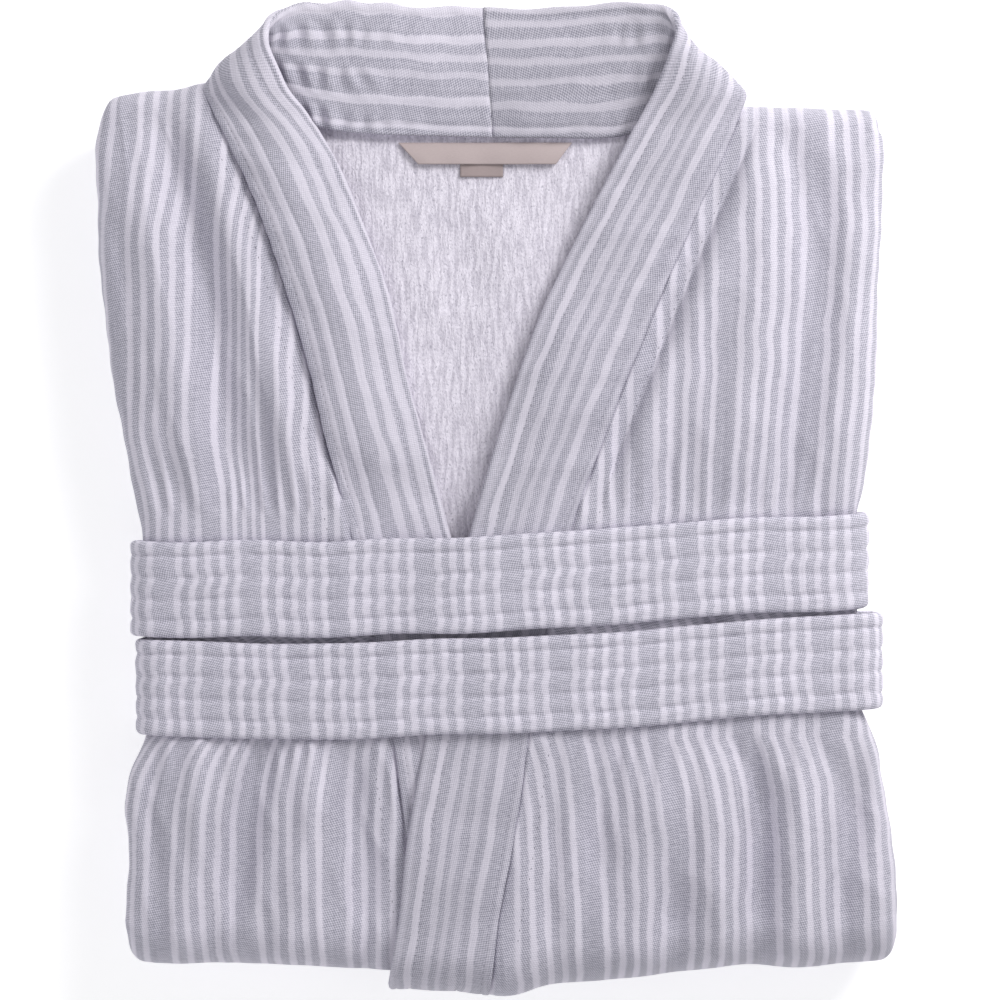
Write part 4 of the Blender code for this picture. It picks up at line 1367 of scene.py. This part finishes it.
def build_sleeves(striped, terry):
    for name, node, middle, side in (("left_sleeve_cloth", "left_sleeve", -0.078, -1),
                                     ("right_sleeve_cloth", "right_sleeve", 0.078, 1)):
        piece = sleeve_cloth(name, middle, side, [striped["left"], terry])
        dress(piece, "robe", node)


def build_pockets(striped, thread):
    for name, node, left, right, under in (
            ("left_pocket_cloth", "left_pocket", -0.160, -0.018, left_under),
            ("right_pocket_cloth", "right_pocket", 0.020, 0.162, right_under)):
        piece, face = pocket_cloth(name, left, right, under, striped["left"])
        dress(piece, "robe", node)
        inset = nearest_columns(edge_samples(60), POCKET_FLAT[0], [0.0030, 0.139])
        rows = nearest_columns(edge_samples(70), POCKET_FLAT[1], [0.0030, 0.148])
        normals = grid_normals(face)
        lines = columns_of(face, inset) + [(face[row], normals[row]) for row in rows]
        made = sewing(name.replace("cloth", "sewing"), lines, thread, radius=0.00022)
        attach(made, "robe")


def build_labels():
    label = neck_label(ribbon_material("label_ribbon", (173, 158, 158), (198, 184, 183), 0.35))
    tab = size_tab(ribbon_material("tab_ribbon", (152, 137, 137), (177, 162, 161), 0.3))
    care = care_label(ribbon_material("care_ribbon", (214, 212, 214), (238, 236, 238), 0.4))
    dress(label, "label", "neck_label")
    dress(tab, "label", "size_tab")
    dress(care, "robe", "care_label")


def build_loops(striped):
    for name, node, middle in (("left_belt_loop_cloth", "left_belt_loop", -0.128),
                               ("right_belt_loop_cloth", "right_belt_loop", 0.128)):
        piece = belt_loop(name, middle, striped["belt"])
        dress(piece, "robe", node)
    hanger = hanger_cloth(striped["left_band"])
    dress(hanger, "hanger", "hanger_loop")


# ---------------------------------------------------------------- room

FLOOR_HALF = 4.0
CAMERA_HEIGHT = 1.65
CAMERA_ABOVE = 0.050
VIEW_WIDTH = 0.500
SENSOR_WIDTH = 36.0


def area_light(name, place, size, power, colour):
    light = bpy.data.lights.new(name, "AREA")
    light.shape = "RECTANGLE"
    light.size = light.size_y = size
    light.energy = power
    light.color = colour
    made = in_scene(name, light)
    made.location = place
    aim = Vector((0.0, 0.0, 0.03)) - Vector(place)
    made.rotation_euler = aim.to_track_quat("-Z", "Y").to_euler()


def room():
    """A white floor, a key light, a fill light and an even pale sky."""
    mesh = bpy.data.meshes.new("floor")
    corners = [(-FLOOR_HALF, -FLOOR_HALF, 0), (FLOOR_HALF, -FLOOR_HALF, 0),
               (FLOOR_HALF, FLOOR_HALF, 0), (-FLOOR_HALF, FLOOR_HALF, 0)]
    mesh.from_pydata(corners, [], [(0, 1, 2, 3)])
    mesh.materials.append(floor_material())
    in_scene("floor", mesh)

    area_light("key", (0.70, 0.72, 0.80), 0.6, 11.2, (1.0, 0.99, 0.985))
    area_light("fill", (-1.2, -0.5, 1.4), 1.6, 4.0, (0.97, 0.97, 1.0))
    world = bpy.data.worlds.new("studio")
    world.use_nodes = True
    sky = world.node_tree.nodes["Background"]
    sky.inputs["Color"].default_value = (0.975, 0.978, 1.0, 1.0)
    sky.inputs["Strength"].default_value = 0.49
    bpy.context.scene.world = world


def camera():
    """Straight above the bundle, CAMERA_HEIGHT over its top, with VIEW_WIDTH across the picture."""
    data = bpy.data.cameras.new("camera")
    data.sensor_width = SENSOR_WIDTH
    data.lens = SENSOR_WIDTH * CAMERA_HEIGHT / VIEW_WIDTH
    data.clip_start = 0.05
    made = in_scene("camera", data)
    made.location = (0.0020, 0.0007, CAMERA_HEIGHT + CAMERA_ABOVE)
    bpy.context.scene.camera = made


def main():
    striped = {
        "left": striped_material("striped_left", first=33.35, tone=1.025),
        "right": striped_material("striped_right", first=34.85),
        "left_band": striped_material("striped_band_left", tone=1.0, stripes=LEFT_LAPEL),
        "right_band": striped_material("striped_band_right", tone=0.94, stripes=RIGHT_LAPEL),
        "left_inner": striped_material("striped_inner_left", stripes=INNER_LEFT),
        # The right band's inner face is made darker with tone 0.85: painted shade for the shadow that the
        # right lapel casts on the inner collar.
        "right_inner_painted_shade": striped_material("striped_inner_right_painted_shade", tone=0.85, stripes=INNER_RIGHT),
        "belt": striped_material("striped_belt", first=-5.7, tone=1.07, paleness=0.90),
    }
    terry = terry_material()
    thread = thread_material("sewing_thread", (166, 164, 176))
    dark_thread = thread_material("topstitch_thread", (112, 110, 122))
    build_fronts(striped, terry, dark_thread)
    build_collar(striped, dark_thread)
    build_belt(striped, thread)
    build_back(striped, terry)
    build_sleeves(striped, terry)
    build_pockets(striped, thread)
    build_labels()
    build_loops(striped)
    room()
    camera()
    bpy.context.scene.view_settings.view_transform = "Standard"


main()
